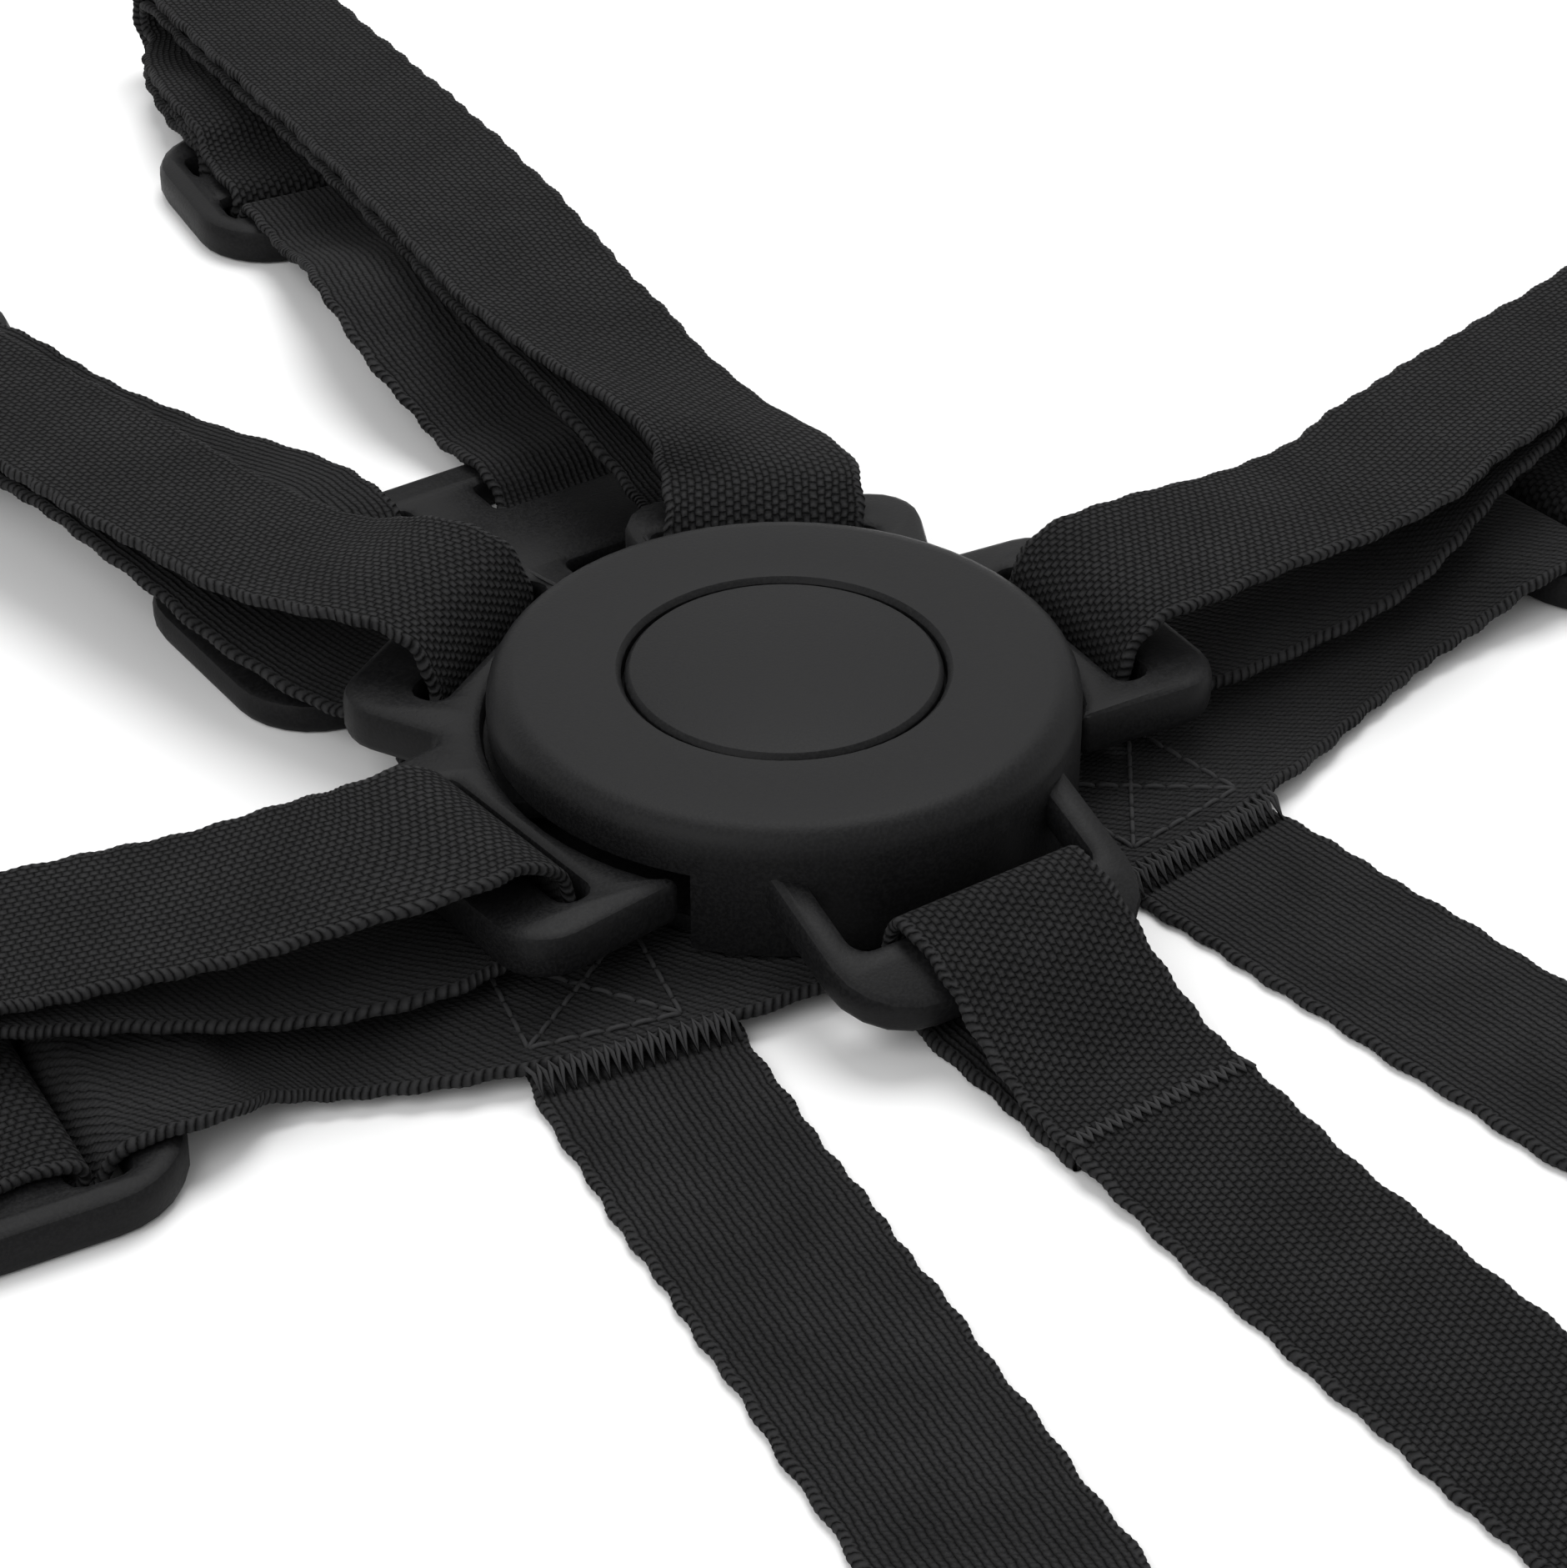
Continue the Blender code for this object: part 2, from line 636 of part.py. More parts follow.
def make_catch(side, word, material):
    """Sheet spring on the base plate, with a lip in its tongue's window and its tip under the button."""
    profile = [(rivet_d + rivet_land, leaf_root_z), (rivet_d - rivet_land, leaf_root_z),
               (lip_d + lip_half + leaf_thick, leaf_under_blade_z - lip_rise), (lip_d + lip_half, lip_z),
               (lip_d - lip_half, lip_z), (lip_d - lip_half - leaf_thick, leaf_under_blade_z - lip_rise / 2),
               (blade_tip, leaf_under_blade_z), (leaf_tip_d, leaf_tip_z)]
    mesh = bpy.data.meshes.new("catch")
    work = bmesh.new()
    bmesh.ops.create_grid(work, x_segments=len(profile) - 1, y_segments=1, size=0.5)
    for vert in work.verts:
        d, z = profile[round((vert.co.x + 0.5) * (len(profile) - 1))]
        vert.co = Vector((d, leaf_width * vert.co.y, z)) * MM
    work.to_mesh(mesh)
    work.free()
    catch = place(add(f"{word}_catch_spring", mesh, material), turn=tongue_turn(side))
    solid = catch.modifiers.new("Solidify", "SOLIDIFY")
    solid.thickness = leaf_thick * MM
    solid.offset = 0.0
    solid.use_even_offset = True
    rivet_hole = cylinder(rivet_radius + gap, base_thick, leaf_root_z + leaf_thick, 16)
    modify(catch, "DIFFERENCE", rivet_hole, x=rivet_d)
    return catch


def make_tongue(side, word, material):
    """Tongue with a rim round the cover, two strap slots and a blade with a catch window."""
    rim_in = buckle_radius + tongue_play
    waist = -side * ear_angle
    shoulder = side * ear_angle
    corners = []
    for ear, end in ((shoulder, side * rim_shoulder_end), (waist, -side * rim_waist_end)):
        corners.append([(*polar(rim_in, end), rim_width / 2)])
        outer_first = math.copysign(1, end)
        for sign in (outer_first, -outer_first):
            x, y = polar(ear_reach, ear)
            dx, dy = polar(sign * ear_half, ear + 90.0)
            corners[-1].append((x + dx, y + dy, ear_corner))
    notch = (rim_in + rim_width + notch_ease, 0.0, notch_ease)
    outline = rounded([*corners[0], notch, *corners[1][::-1]])
    inner_arc = arc(rim_in, -side * rim_waist_end, side * rim_shoulder_end, 20)[1:-1]
    outline += inner_arc
    slots = []
    for ear in (waist, shoulder):
        edge = slot_width / 2
        slot = box_outline(slot_r - edge, slot_r + edge, -slot_half, slot_half, slot_width * 0.4, 3)
        c, s = polar(1.0, ear)
        slots.append([(c * x - s * y, s * x + c * y) for x, y in slot])
    body = flat([outline, *slots], tongue_bottom, tongue_top, tongue_round)
    tongue = place(add(f"{word}_tongue", body, material), turn=tongue_turn(side))
    blade = box_outline(blade_tip, rim_in + rim_width / 2, -blade_half, blade_half, 1.5, 2)
    window = box_outline(lip_d - catch_window / 2, lip_d + catch_window / 2,
                         -leaf_width / 2 - 2 * gap, leaf_width / 2 + 2 * gap)
    modify(tongue, "UNION", flat([blade, window], blade_bottom, blade_bottom + blade_thick))
    return tongue


def make_slider(name, material):
    """Three-bar strap slider whose middle bar sits low between two slots."""
    x, y, direction, outboard = sliders[name]
    half, across = slider_length / 2, slot_half + slider_side
    outline = box_outline(-half, half, -across, across, slider_corner, 7)
    near, far = slider_bar / 2, slider_bar / 2 + slider_slot
    slots = [box_outline(sign * near, sign * far, -slot_half, slot_half, 1.5, 2) for sign in (-1, 1)]
    slots[0] = slots[0][::-1]
    body = flat([outline, *slots], rest_z, slider_top, slider_round)
    slider = place(add(name, body, material), x, y, turn=direction if outboard > 0 else direction + 180.0)
    recess = box_outline(-near - gap, near + gap, -slot_half, slot_half)
    modify(slider, "DIFFERENCE", flat([recess], rest_z - gap, slider_bar_low))
    modify(slider, "DIFFERENCE", flat([recess], slider_bar_low + slider_bar_thick, slider_top + gap))
    return slider


def make_yoke(material):
    """Back plate that draws the two shoulder straps together, with two slots for each strap."""
    half, edge = yoke_length / 2, yoke_length / 2 - yoke_edge_bar
    outline = box_outline(-yoke_width / 2, yoke_width / 2, -half, half, yoke_corner, 7)
    slots = [box_outline(x - slot_half, x + slot_half, y0, y0 + yoke_slot, yoke_slot_corner, 2)
             for x in (-yoke_strap_x, yoke_strap_x) for y0 in (-edge, edge - yoke_slot)]
    yoke = place(add("back_yoke", flat([outline, *slots], rest_z, yoke_top, yoke_round), material), y=yoke_y)
    inner = edge - yoke_slot + yoke_slot_corner
    for x in (-yoke_strap_x, yoke_strap_x):
        recess = box_outline(x - slot_half, x + slot_half, -inner, inner)
        modify(yoke, "DIFFERENCE", flat([recess], rest_z - gap, floor_z + half_strap + gap))
    return yoke


def make_anchor(name, material):
    """Flat plate with a strap bar and two screw holes."""
    x, y, direction, outboard = anchors[name]
    half, across = anchor_bar / 2, slot_half + anchor_side
    outline = box_outline(-half, anchor_length - half, -across, across, anchor_corner, 5)
    slot = box_outline(half, half + anchor_slot, -slot_half, slot_half, 1.5, 2)
    plate_mid = (half + anchor_slot + anchor_length - half) / 2
    holes = [[(plate_mid + dx, sign * across / 2 + dy) for dx, dy in arc(anchor_hole, 0.0, 360.0, 14)[:-1]]
             for sign in (-1, 1)]
    turn = direction if outboard > 0 else direction + 180.0
    body = flat([outline, slot, *holes], rest_z, rest_z + anchor_thick, anchor_round, 0)
    anchor = place(add(name, body, material), x, y, turn=turn)
    recess = box_outline(-half - gap, half + gap, -slot_half, slot_half)
    modify(anchor, "DIFFERENCE", flat([recess], rest_z - gap, rest_z + anchor_thick - anchor_bar_thick))
    return anchor


def waist_route():
    """The waist strap: sewn loop, left tongue, left slider, behind the buckle, then the same on the right."""
    left, right = sliders["left_waist_slider"], sliders["right_waist_slider"]
    return [
        *slider_loop(left),
        *free([(-140, 2.6, 3.2), (-150, 6.2, 2.7)]),
        *turn_back(turns["left_waist"], turn_inner, turn_mid),
        *free([(-140, 11.2, 8.0), (-120, 13.8, 7.9), (-100, 11.8, 7.4), (-87, 7.4, 6.4), (-74, 1.6, 4.8),
               (-63, -2.4, 3.2)]),
        *slot_turn(tongue_frame(-1, 1), 5.0),
        *free([(-60, -1.6, 13.4), (-74, 2.4, 11.9), (-87, 7.8, 10.4), (-100, 11.8, 9.8), (-120, 13.8, 10.2),
               (-140, 11.2, 10.5)]),
        *turn_back(turns["left_waist"], turn_outer, turn_mid)[::-1],
        *free([(-150, 6.2, 0.2), (-140, 2.6, 0.5)]),
        *slider_run(left)[::-1],
        *free([(-74, -4.6, -1.4), (-62, -9.0, -2.4), (-51, -14.2, cross_z), (-40, -17.6, cross_z),
               (-28, -19.8, cross_z), (-16, -21.4, under_buckle_z), (0, -22.8, under_buckle_z),
               (12, -23.4, under_buckle_z), (22, -23.4, cross_z), (33, -22.2, cross_z), (45, -19.2, cross_z),
               (57, -15.0, -2.6), (72, -10.2, -2.4), (88, -7.6, -0.9)]),
        *slider_run(right),
        *free([(150, -2.4, 0.6), (160, 3.4, 0.3), (169, 11.0, 0.2)]),
        *turn_back(turns["right_waist"], turn_outer, turn_mid),
        *free([(166, 16.8, 10.8), (150, 14.8, 11.2), (134, 11.2, 12.2, -4), (114, 6.2, 13.2, -5),
               (95, 1.2, 13.6, -5), (85, -2.4, 13.9, -5), (74, -4.3, 14.3, -5), (63.5, -4.4, 14.8, -4)]),
        *slot_turn(tongue_frame(1, 1), 5.6)[::-1],
        *free([(64, -4.4, 3.2), (80, -3.6, 5.4), (95, 1.0, 8.6, -4), (114, 6.2, 10.6, -5),
               (134, 11.2, 9.9, -4), (150, 14.8, 8.9), (166, 16.8, 8.2)]),
        *turn_back(turns["right_waist"], turn_inner, turn_mid)[::-1],
        *free([(169, 11.0, 2.9), (160, 3.4, 3.4), (150, -2.4, 4.5)]),
        *slider_loop(right)[::-1],
    ]


def left_shoulder_route():
    """The left shoulder strap: sewn loop, tongue, shoulder turn, slider, yoke and tail."""
    slider = sliders["left_shoulder_slider"]
    return [
        *slider_loop(slider),
        *free([(-57, 190, 3.0)]),
        *turn_back(turns["left_shoulder"], turn_inner, turn_mid),
        *free([(-58.4, 186, 8.1), (-54, 165, 8.2), (-48.4, 138, 8.4, 3), (-43, 113, 8.5, 6),
               (-39.6, 97, 8.6, 7), (-37.2, 84, 8.2, 7), (-34.4, 69.5, 6.6, 5), (-30.6, 56, 3.8)]),
        *slot_turn(tongue_frame(-1, -1), 6.4),
        *free([(-30.8, 55, 12.4, 3), (-34.4, 69.5, 11.3, 7), (-37.2, 84, 11.0, 7), (-39.6, 97, 11.0, 7),
               (-43, 113, 10.9, 6), (-48.4, 138, 10.8, 3), (-54, 165, 10.7), (-58.4, 186, 10.6)]),
        *turn_back(turns["left_shoulder"], turn_outer, turn_mid)[::-1],
        *free([(-57, 190, 0.4)]),
        *slider_run(slider)[::-1],
        *free([(-32, 128, -1.6), (-26, 113, -3.0), (-21, 99, -2.0)]),
        *yoke_run(-1)[::-1],
        *free([(-21.5, 26, -3.2), (-26, 10, floor_z), (-31.5, -6, floor_z), (-36.4, -20, floor_z),
               (-40.4, -36, floor_z), (-46.5, -76, floor_z), (-52, -112, floor_z), (-57.5, -148, floor_z)]),
        *anchor_loop(anchors["left_tail_anchor"]),
    ]


def right_shoulder_route():
    """The right shoulder strap, which rolls as it leaves its tongue and rises between slider and yoke."""
    slider = sliders["right_shoulder_slider"]
    return [
        *slider_loop(slider),
        *free([(36.2, 201, 3.0)]),
        *turn_back(turns["right_shoulder"], turn_inner, turn_mid),
        *free([(40.4, 200, 8.2), (38.4, 182, 8.9), (36, 158, 9.8), (33, 135, 10.8), (29.8, 113, 11.4, 1),
               (27.2, 97, 11.3, 4), (26.2, 84, 10.6, 9), (25.8, 70, 8.4, 11), (26.4, 57, 5.2, 5)]),
        *slot_turn(tongue_frame(1, -1), 5.0)[:-1],
        *free([(25.0, 46.5, 14.0, 12), (25.2, 57, 14.0, 18), (25.0, 69, 13.9, 15), (25.9, 82, 13.9, 9),
               (27.2, 97, 13.9, 4), (29.8, 113, 13.8, 1), (33, 135, 13.2), (36, 158, 12.2), (38.4, 182, 11.4),
               (40.4, 200, 10.8)]),
        *turn_back(turns["right_shoulder"], turn_outer, turn_mid)[::-1],
        *free([(36.2, 201, 0.4)]),
        *slider_run(slider)[::-1],
        *free([(24.6, 137, 3.0), (21.4, 125, 6.6), (18.2, 113, 7.4), (17.4, 104, 5.2), (17.8, 96, 2.4)]),
        *yoke_run(1)[::-1],
        *free([(21.5, 26, -3.2), (25.6, 8, floor_z), (30, -12, floor_z), (32.8, -28, floor_z),
               (35.6, -50, floor_z), (39, -80, floor_z), (43.3, -117, floor_z), (46.8, -146, floor_z)]),
        *anchor_loop(anchors["right_tail_anchor"]),
    ]


def crotch_route():
    """The crotch strap: sewn end, round the bar of the cover's loop, then out to its anchor."""
    bar_d = loop_reach - loop_bar / 2
    tilt_y, tilt_z = polar(bar_d, loop_tilt)
    bar_z = loop_root_z - tilt_z
    frame = (0.0, -buckle_radius - tilt_y, 90.0, -1)
    return [
        *spots(frame, [(26.5, floor_z), (14, floor_z), (4, floor_z), (-2.4, floor_z + 0.4),
                       (-5.2, floor_z + 2.0), (-6.4, bar_z - 1.7), (-6.5, bar_z + 1.3), (-6.1, bar_z + 3.4),
                       (-4.8, bar_z + 4.9), (-2.8, bar_z + 5.1), (0.0, bar_z + 4.2), (4.0, bar_z + 2.7),
                       (7.3, bar_z + 0.7), (11.2, bar_z - 1.6), (18.2, -1.7), (25.7, floor_z + layer),
                       (33.7, floor_z + 0.7), (43.7, floor_z), (81.7, floor_z)]),
        *anchor_loop(anchors["crotch_anchor"]),
    ]


def main():
    plastic = make_material("moulded_plastic", (0.022, 0.022, 0.023), 0.5)
    webbing = make_material("webbing", (0.014, 0.014, 0.015), 0.85)
    steel = make_material("steel", (0.55, 0.55, 0.56), 0.35, 1.0)
    make_cover(plastic)
    make_base(plastic)
    make_fasteners(steel)
    make_button(plastic)
    make_spring(steel)
    for side, word in sides.items():
        make_catch(side, word, steel)
        make_tongue(side, word, plastic)
    for name in sliders:
        make_slider(name, plastic)
    make_yoke(plastic)
    for name in anchors:
        make_anchor(name, plastic)
    strap("waist_strap", waist_route(), webbing)
    strap("left_shoulder_strap", left_shoulder_route(), webbing)
    strap("right_shoulder_strap", right_shoulder_route(), webbing)
    strap("crotch_strap", crotch_route(), webbing)


part_group, cutter_group = clear_scene()
main()
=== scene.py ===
import math

import bmesh
import bpy
import numpy as np
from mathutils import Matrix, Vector


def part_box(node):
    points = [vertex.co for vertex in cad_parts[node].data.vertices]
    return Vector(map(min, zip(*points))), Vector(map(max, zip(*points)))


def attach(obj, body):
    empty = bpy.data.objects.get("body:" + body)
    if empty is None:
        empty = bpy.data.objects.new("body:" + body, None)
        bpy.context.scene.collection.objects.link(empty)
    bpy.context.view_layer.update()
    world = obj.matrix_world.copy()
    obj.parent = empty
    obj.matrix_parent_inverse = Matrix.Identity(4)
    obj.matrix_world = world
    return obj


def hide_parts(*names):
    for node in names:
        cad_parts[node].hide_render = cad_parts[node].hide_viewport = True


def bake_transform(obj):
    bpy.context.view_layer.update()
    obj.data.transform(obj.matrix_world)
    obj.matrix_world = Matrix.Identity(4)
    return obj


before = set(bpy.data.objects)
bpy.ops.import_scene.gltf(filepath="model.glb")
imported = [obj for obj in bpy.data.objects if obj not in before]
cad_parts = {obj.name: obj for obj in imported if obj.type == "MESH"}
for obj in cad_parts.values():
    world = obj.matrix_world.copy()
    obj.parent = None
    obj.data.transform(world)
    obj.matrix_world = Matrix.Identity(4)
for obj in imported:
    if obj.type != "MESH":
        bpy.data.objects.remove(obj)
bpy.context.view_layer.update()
scene = bpy.context.scene
scene.view_settings.view_transform = "Standard"
mm = 0.001
print("frame loaded:", len(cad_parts), "nodes")


# the photograph's view: the buckle's back is the origin, the lens is long
cameraSetup = {"azimuth": -34.5, "elevation": 34.63, "distance": 0.4749, "lens": 5000 / 1880 * 36,
               "shift": (-1.0 / 1880, -5.6 / 1881)}


def makeCamera(setup):
    azimuth, elevation = math.radians(setup["azimuth"]), math.radians(setup["elevation"])
    back = Vector((math.sin(azimuth) * math.cos(elevation), -math.cos(azimuth) * math.cos(elevation),
                   math.sin(elevation)))
    data = bpy.data.cameras.new("photoCamera")
    data.sensor_width = 36
    data.lens = setup["lens"]
    data.shift_x, data.shift_y = setup["shift"]
    data.clip_start, data.clip_end = 0.01, 20
    camera = bpy.data.objects.new("photoCamera", data)
    camera.location = back * setup["distance"]
    camera.rotation_euler = back.to_track_quat("Z", "Y").to_euler()
    scene.collection.objects.link(camera)
    scene.camera = camera


makeCamera(cameraSetup)
print("camera set")


# a socket in a shader, so that its maths is written as plain sums
class Wire:
    def __init__(self, tree, socket=None):
        self.tree, self.socket = tree, socket

    def node(self, kind, settings=None, sockets=None, out=0):
        made = self.tree.nodes.new("ShaderNode" + kind)
        for key, value in (settings or {}).items():
            if key == "stops":
                while len(made.color_ramp.elements) < len(value):
                    made.color_ramp.elements.new(0.5)
                for stop, (place, shade) in zip(made.color_ramp.elements, value):
                    stop.position = place
                    stop.color = (shade, shade, shade, 1)
            else:
                setattr(made, key, value)
        for key, value in (sockets or {}).items():
            if isinstance(value, Wire):
                self.tree.links.new(value.socket, made.inputs[key])
            else:
                made.inputs[key].default_value = value
        return Wire(self.tree, made.outputs[out])

    def sum(self, operation, *values):
        return self.node("Math", {"operation": operation}, dict(enumerate(values)))

    def __add__(self, other): return self.sum("ADD", self, other)
    def __radd__(self, other): return self.sum("ADD", other, self)
    def __sub__(self, other): return self.sum("SUBTRACT", self, other)
    def __rsub__(self, other): return self.sum("SUBTRACT", other, self)
    def __mul__(self, other): return self.sum("MULTIPLY", self, other)
    def __rmul__(self, other): return self.sum("MULTIPLY", other, self)
    def __truediv__(self, other): return self.sum("DIVIDE", self, other)
    def __abs__(self): return self.sum("ABSOLUTE", self)
    def fraction(self): return self.sum("FRACT", self)
    def floor(self): return self.sum("FLOOR", self)
    def power(self, exponent): return self.sum("POWER", self, exponent)
    def most(self, other): return self.sum("MAXIMUM", self, other)
    def least(self, other): return self.sum("MINIMUM", self, other)

    def between(self, low, high):
        return self.node("MapRange", {"interpolation_type": "SMOOTHSTEP"},
                         {"Value": self, "From Min": low, "From Max": high})

    def bump(self, height):
        # rounded hill over each whole step, 1 in its middle and 0 at its ends
        part = self.fraction() * 2 - 1
        return (1 - part * part) * height


def newMaterial(name, constants):
    material = bpy.data.materials.new(name)
    material.use_nodes = True
    tree = material.node_tree
    shader = tree.nodes["Principled BSDF"]
    for key, value in constants.items():
        shader.inputs[key].default_value = value
    return material, Wire(tree), shader


def feed(wires, shader, **sockets):
    for key, value in sockets.items():
        wires.tree.links.new(value.socket, shader.inputs[key.replace("_", " ")])


def shade(wires, dark, light, share):
    return wires.node("Mix", {"data_type": "RGBA"}, {"Factor": share, 6: (*dark, 1), 7: (*light, 1)}, out=2)


plasticLook = {"dark": (0.004, 0.004, 0.0043), "light": (0.011, 0.011, 0.0114), "grain": 2600, "depth": 0.00006}


def makePlastic(name, look):
    material, wires, shader = newMaterial(name, {"Specular IOR Level": 0.09})
    place = wires.node("NewGeometry", out=0)
    grain = wires.node("TexNoise", {}, {"Vector": place, "Scale": look["grain"], "Detail": 2.0})
    cloud = wires.node("TexNoise", {}, {"Vector": place, "Scale": 60.0, "Detail": 3.0})
    speck = grain.between(0.35, 0.7)
    feed(wires, shader, Base_Color=shade(wires, look["dark"], look["light"], speck * 0.6 + cloud * 0.4),
         Roughness=speck * 0.10 + cloud * 0.10 + 0.40,
         Normal=wires.node("Bump", {}, {"Strength": 0.55, "Distance": look["depth"], "Height": grain}))
    return material


steelLook = {"dark": (0.38, 0.38, 0.39), "light": (0.60, 0.60, 0.61)}


def makeSteel(look):
    material, wires, shader = newMaterial("springSteel", {"Metallic": 1.0})
    place = wires.node("NewGeometry", out=0)
    streak = wires.node("TexNoise", {}, {"Vector": place, "Scale": 900.0, "Detail": 3.0})
    feed(wires, shader, Base_Color=shade(wires, look["dark"], look["light"], streak),
         Roughness=streak * 0.25 + 0.25,
         Normal=wires.node("Bump", {}, {"Strength": 0.2, "Distance": 0.00003, "Height": streak}))
    return material


# webbing: sizes in mm; each face of a strap has its own weave
webbingLook = {"dark": (0.002, 0.002, 0.0021), "light": (0.024, 0.024, 0.0247), "thread": 0.00042,
               "rib": 0.92, "pick": 1.1, "edge": 11.5, "bead": 1.05, "sewn": 1.5}


def makeWebbing(name, weave, look):
    material, wires, shader = newMaterial(name, {"Specular IOR Level": 0.04, "Sheen Weight": 0.01,
                                                 "Sheen Roughness": 0.5})
    lay = wires.node("Attribute", {"attribute_name": "lay"}, out=1)
    # threads wander a little, so that no two cells are quite alike
    wander = wires.node("TexNoise", {}, {"Vector": lay, "Scale": 0.65, "Detail": 2.0}) - 0.5
    across, along = (wires.node("SeparateXYZ", {}, {"Vector": lay}, out=k) + wander * 0.6 for k in (0, 1))
    ribs = across / look["rib"]
    if weave == "brick":
        # every other rib starts half a stitch later
        start = (ribs.floor() / 2).fraction()
        height = ribs.bump(1.0).power(0.6) * (along / look["pick"] + start).bump(1.0).power(0.7)
    elif weave == "rib":
        twist = (along / look["pick"] * 1.4 + ribs.fraction() * 0.5).bump(1.0)
        height = ribs.bump(1.0).power(0.7) * (twist * 0.3 + 0.7)
    else:
        twill = ((across * 0.75 + along) / 1.15).bump(1.0)
        fine = (across / 0.62).bump(1.0)
        height = twill.power(0.7) * 0.7 + fine * 0.3
    beads = ((along + abs(across) * 0.5) / look["bead"]).bump(1.0)
    selvedge = abs(across).between(look["edge"] - 0.3, look["edge"] + 0.3)
    height = height * (1 - selvedge) + beads * selvedge
    fuzz = wires.node("TexNoise", {}, {"Vector": lay, "Scale": 3.6, "Detail": 3.0})
    cloud = wires.node("TexNoise", {}, {"Vector": lay, "Scale": 0.09, "Detail": 4.0})
    # painted light: the weave's crests and the selvedge beads are painted lighter and its hollows darker, on top of
    # random fuzz and cloudy tone
    toneAndPaintedLight = (height * 0.9 + fuzz * 1.1 - 0.55).least(1.2).most(0.0) * (cloud * 0.9 + 0.5) + selvedge * beads * 0.4
    feed(wires, shader, Base_Color=shade(wires, look["dark"], look["light"], toneAndPaintedLight), Roughness=0.95 - height * 0.25,
         Normal=wires.node("Bump", {}, {"Strength": 0.9, "Distance": look["thread"],
                                        "Height": height + fuzz * 0.18}))
    return material


def makeThread(name, look):
    material, wires, shader = newMaterial(name, {"Roughness": 0.8, "Specular IOR Level": 0.1})
    twist = wires.node("TexNoise", {}, {"Vector": wires.node("NewGeometry", out=0), "Scale": 2500.0})
    feed(wires, shader, Base_Color=shade(wires, look["light"], [c * look["sewn"] for c in look["light"]], twist),
         Normal=wires.node("Bump", {}, {"Strength": 0.6, "Distance": 0.0001, "Height": twist}))
    return material


plastic = makePlastic("mouldedPlastic", plasticLook)
steel = makeSteel(steelLook)
brickWeave = makeWebbing("brickWeave", "brick", webbingLook)
ribWeave = makeWebbing("ribWeave", "rib", webbingLook)
twillWeave = makeWebbing("twillWeave", "twill", webbingLook)
thread = makeThread("sewingThread", webbingLook)
print("materials made")


# strap routes in mm, the same stations as the solids
sizes = {"strapWidth": 25.0, "strapThick": 1.4, "gap": 0.3, "table": -4.7, "tablePlay": 0.2,
         "tongueAngle": 152.5, "earAngle": 31.5, "tongueBottom": 3.4, "tongueTop": 9.0, "slotRadius": 38.6,
         "slotWidth": 4.0, "earBar": 8.0, "sliderTop": 0.7, "sliderBar": 8.0, "sliderSlot": 6.5,
         "sliderLength": 36.0, "sliderBarThick": 1.6, "yokeTop": -0.5, "yokeLength": 40.6, "yokeEdge": 6.0,
         "yokeSlot": 6.5, "yokeStrap": 18.5, "yokeY": 62.9, "anchorBar": 5.0, "anchorThick": 4.0}
gap, halfStrap = sizes["gap"], sizes["strapThick"] / 2
layer = sizes["strapThick"] + gap
floorZ = sizes["table"] + sizes["tablePlay"] + halfStrap
crossZ = floorZ + layer + gap
underZ = -2 * gap - halfStrap
sliderPlaces = {"leftWaist": (-101.8, -5.4, -6.0, -1), "rightWaist": (119.0, -6.0, 4.0, 1),
                "leftShoulder": (-44.0, 157.0, 110.0, 1), "rightShoulder": (29.5, 167.0, 82.0, 1)}
anchorPlaces = {"left": (-63.5, -188.0, 81.5, -1), "right": (52.0, -188.0, 96.5, -1),
                "crotch": (0.0, -188.0, 90.0, -1)}
turnPlaces = {"leftWaist": (-157.0, 8.0, -4.0, -1), "rightWaist": (180.0, 20.0, 15.0, 1),
              "leftShoulder": (-61.8, 203.0, 102.0, 1), "rightShoulder": (42.0, 213.0, 84.0, 1)}
turnInner, turnOuter, turnMid = 2.65, 5.15, 5.35


def polar(radius, degrees):
    return radius * math.cos(math.radians(degrees)), radius * math.sin(math.radians(degrees))


def spots(place, profile):
    x, y, direction, outboard = place
    stations = []
    for u, z in profile:
        dx, dy = polar(outboard * u, direction)
        stations.append((x + dx, y + dy, z, direction, 0.0))
    return stations


def free(points):
    return [(x, y, z, math.nan, *(roll or [0.0])) for x, y, z, *roll in points]


def turnBack(place, radius):
    steps = [polar(radius, -90.0 + 45.0 * k) for k in range(5)]
    return spots(place, [(u, turnMid + z) for u, z in steps])


def tongueSlot(side, ear):
    angle = sizes["tongueAngle"] + sizes["earAngle"] * ear
    if side > 0:
        angle = 180.0 - angle
    x, y = polar(sizes["slotRadius"], angle)
    if ear < 0:
        return x, y, angle, 1
    return x, y, angle if side > 0 else angle - 180.0, side


def slotTurn(place, crest):
    low = sizes["tongueBottom"] - gap - halfStrap
    top, edge = sizes["tongueTop"], sizes["slotWidth"] / 2
    bar = edge + sizes["earBar"]
    return spots(place, [(bar + 5.0, low), (bar - 1.5, low), (edge + 2.4, low - 0.1), (0.7, low + 0.5),
                         (-0.1, low + 2.4), (-0.1, top - 0.9), (0.5, top + 1.3), (2.6, top + crest - 1.7),
                         (6.0, top + crest - 0.3), (bar + 1.0, top + crest)])


def sliderRun(place):
    over = sizes["sliderTop"] + gap + halfStrap
    edge, half = sizes["sliderBar"] / 2 + sizes["sliderSlot"], sizes["sliderLength"] / 2
    side = [(edge - 5.0, floorZ), (edge - 3.2, floorZ + 1.3), (edge - 1.5, over - 1.4), (edge + 0.3, over - 0.1),
            (edge + 2.0, over), (half - 1.5, over), (half + 4.0, over - 0.3)]
    return spots(place, [*((-u, z) for u, z in reversed(side)), (0.0, floorZ), *side])


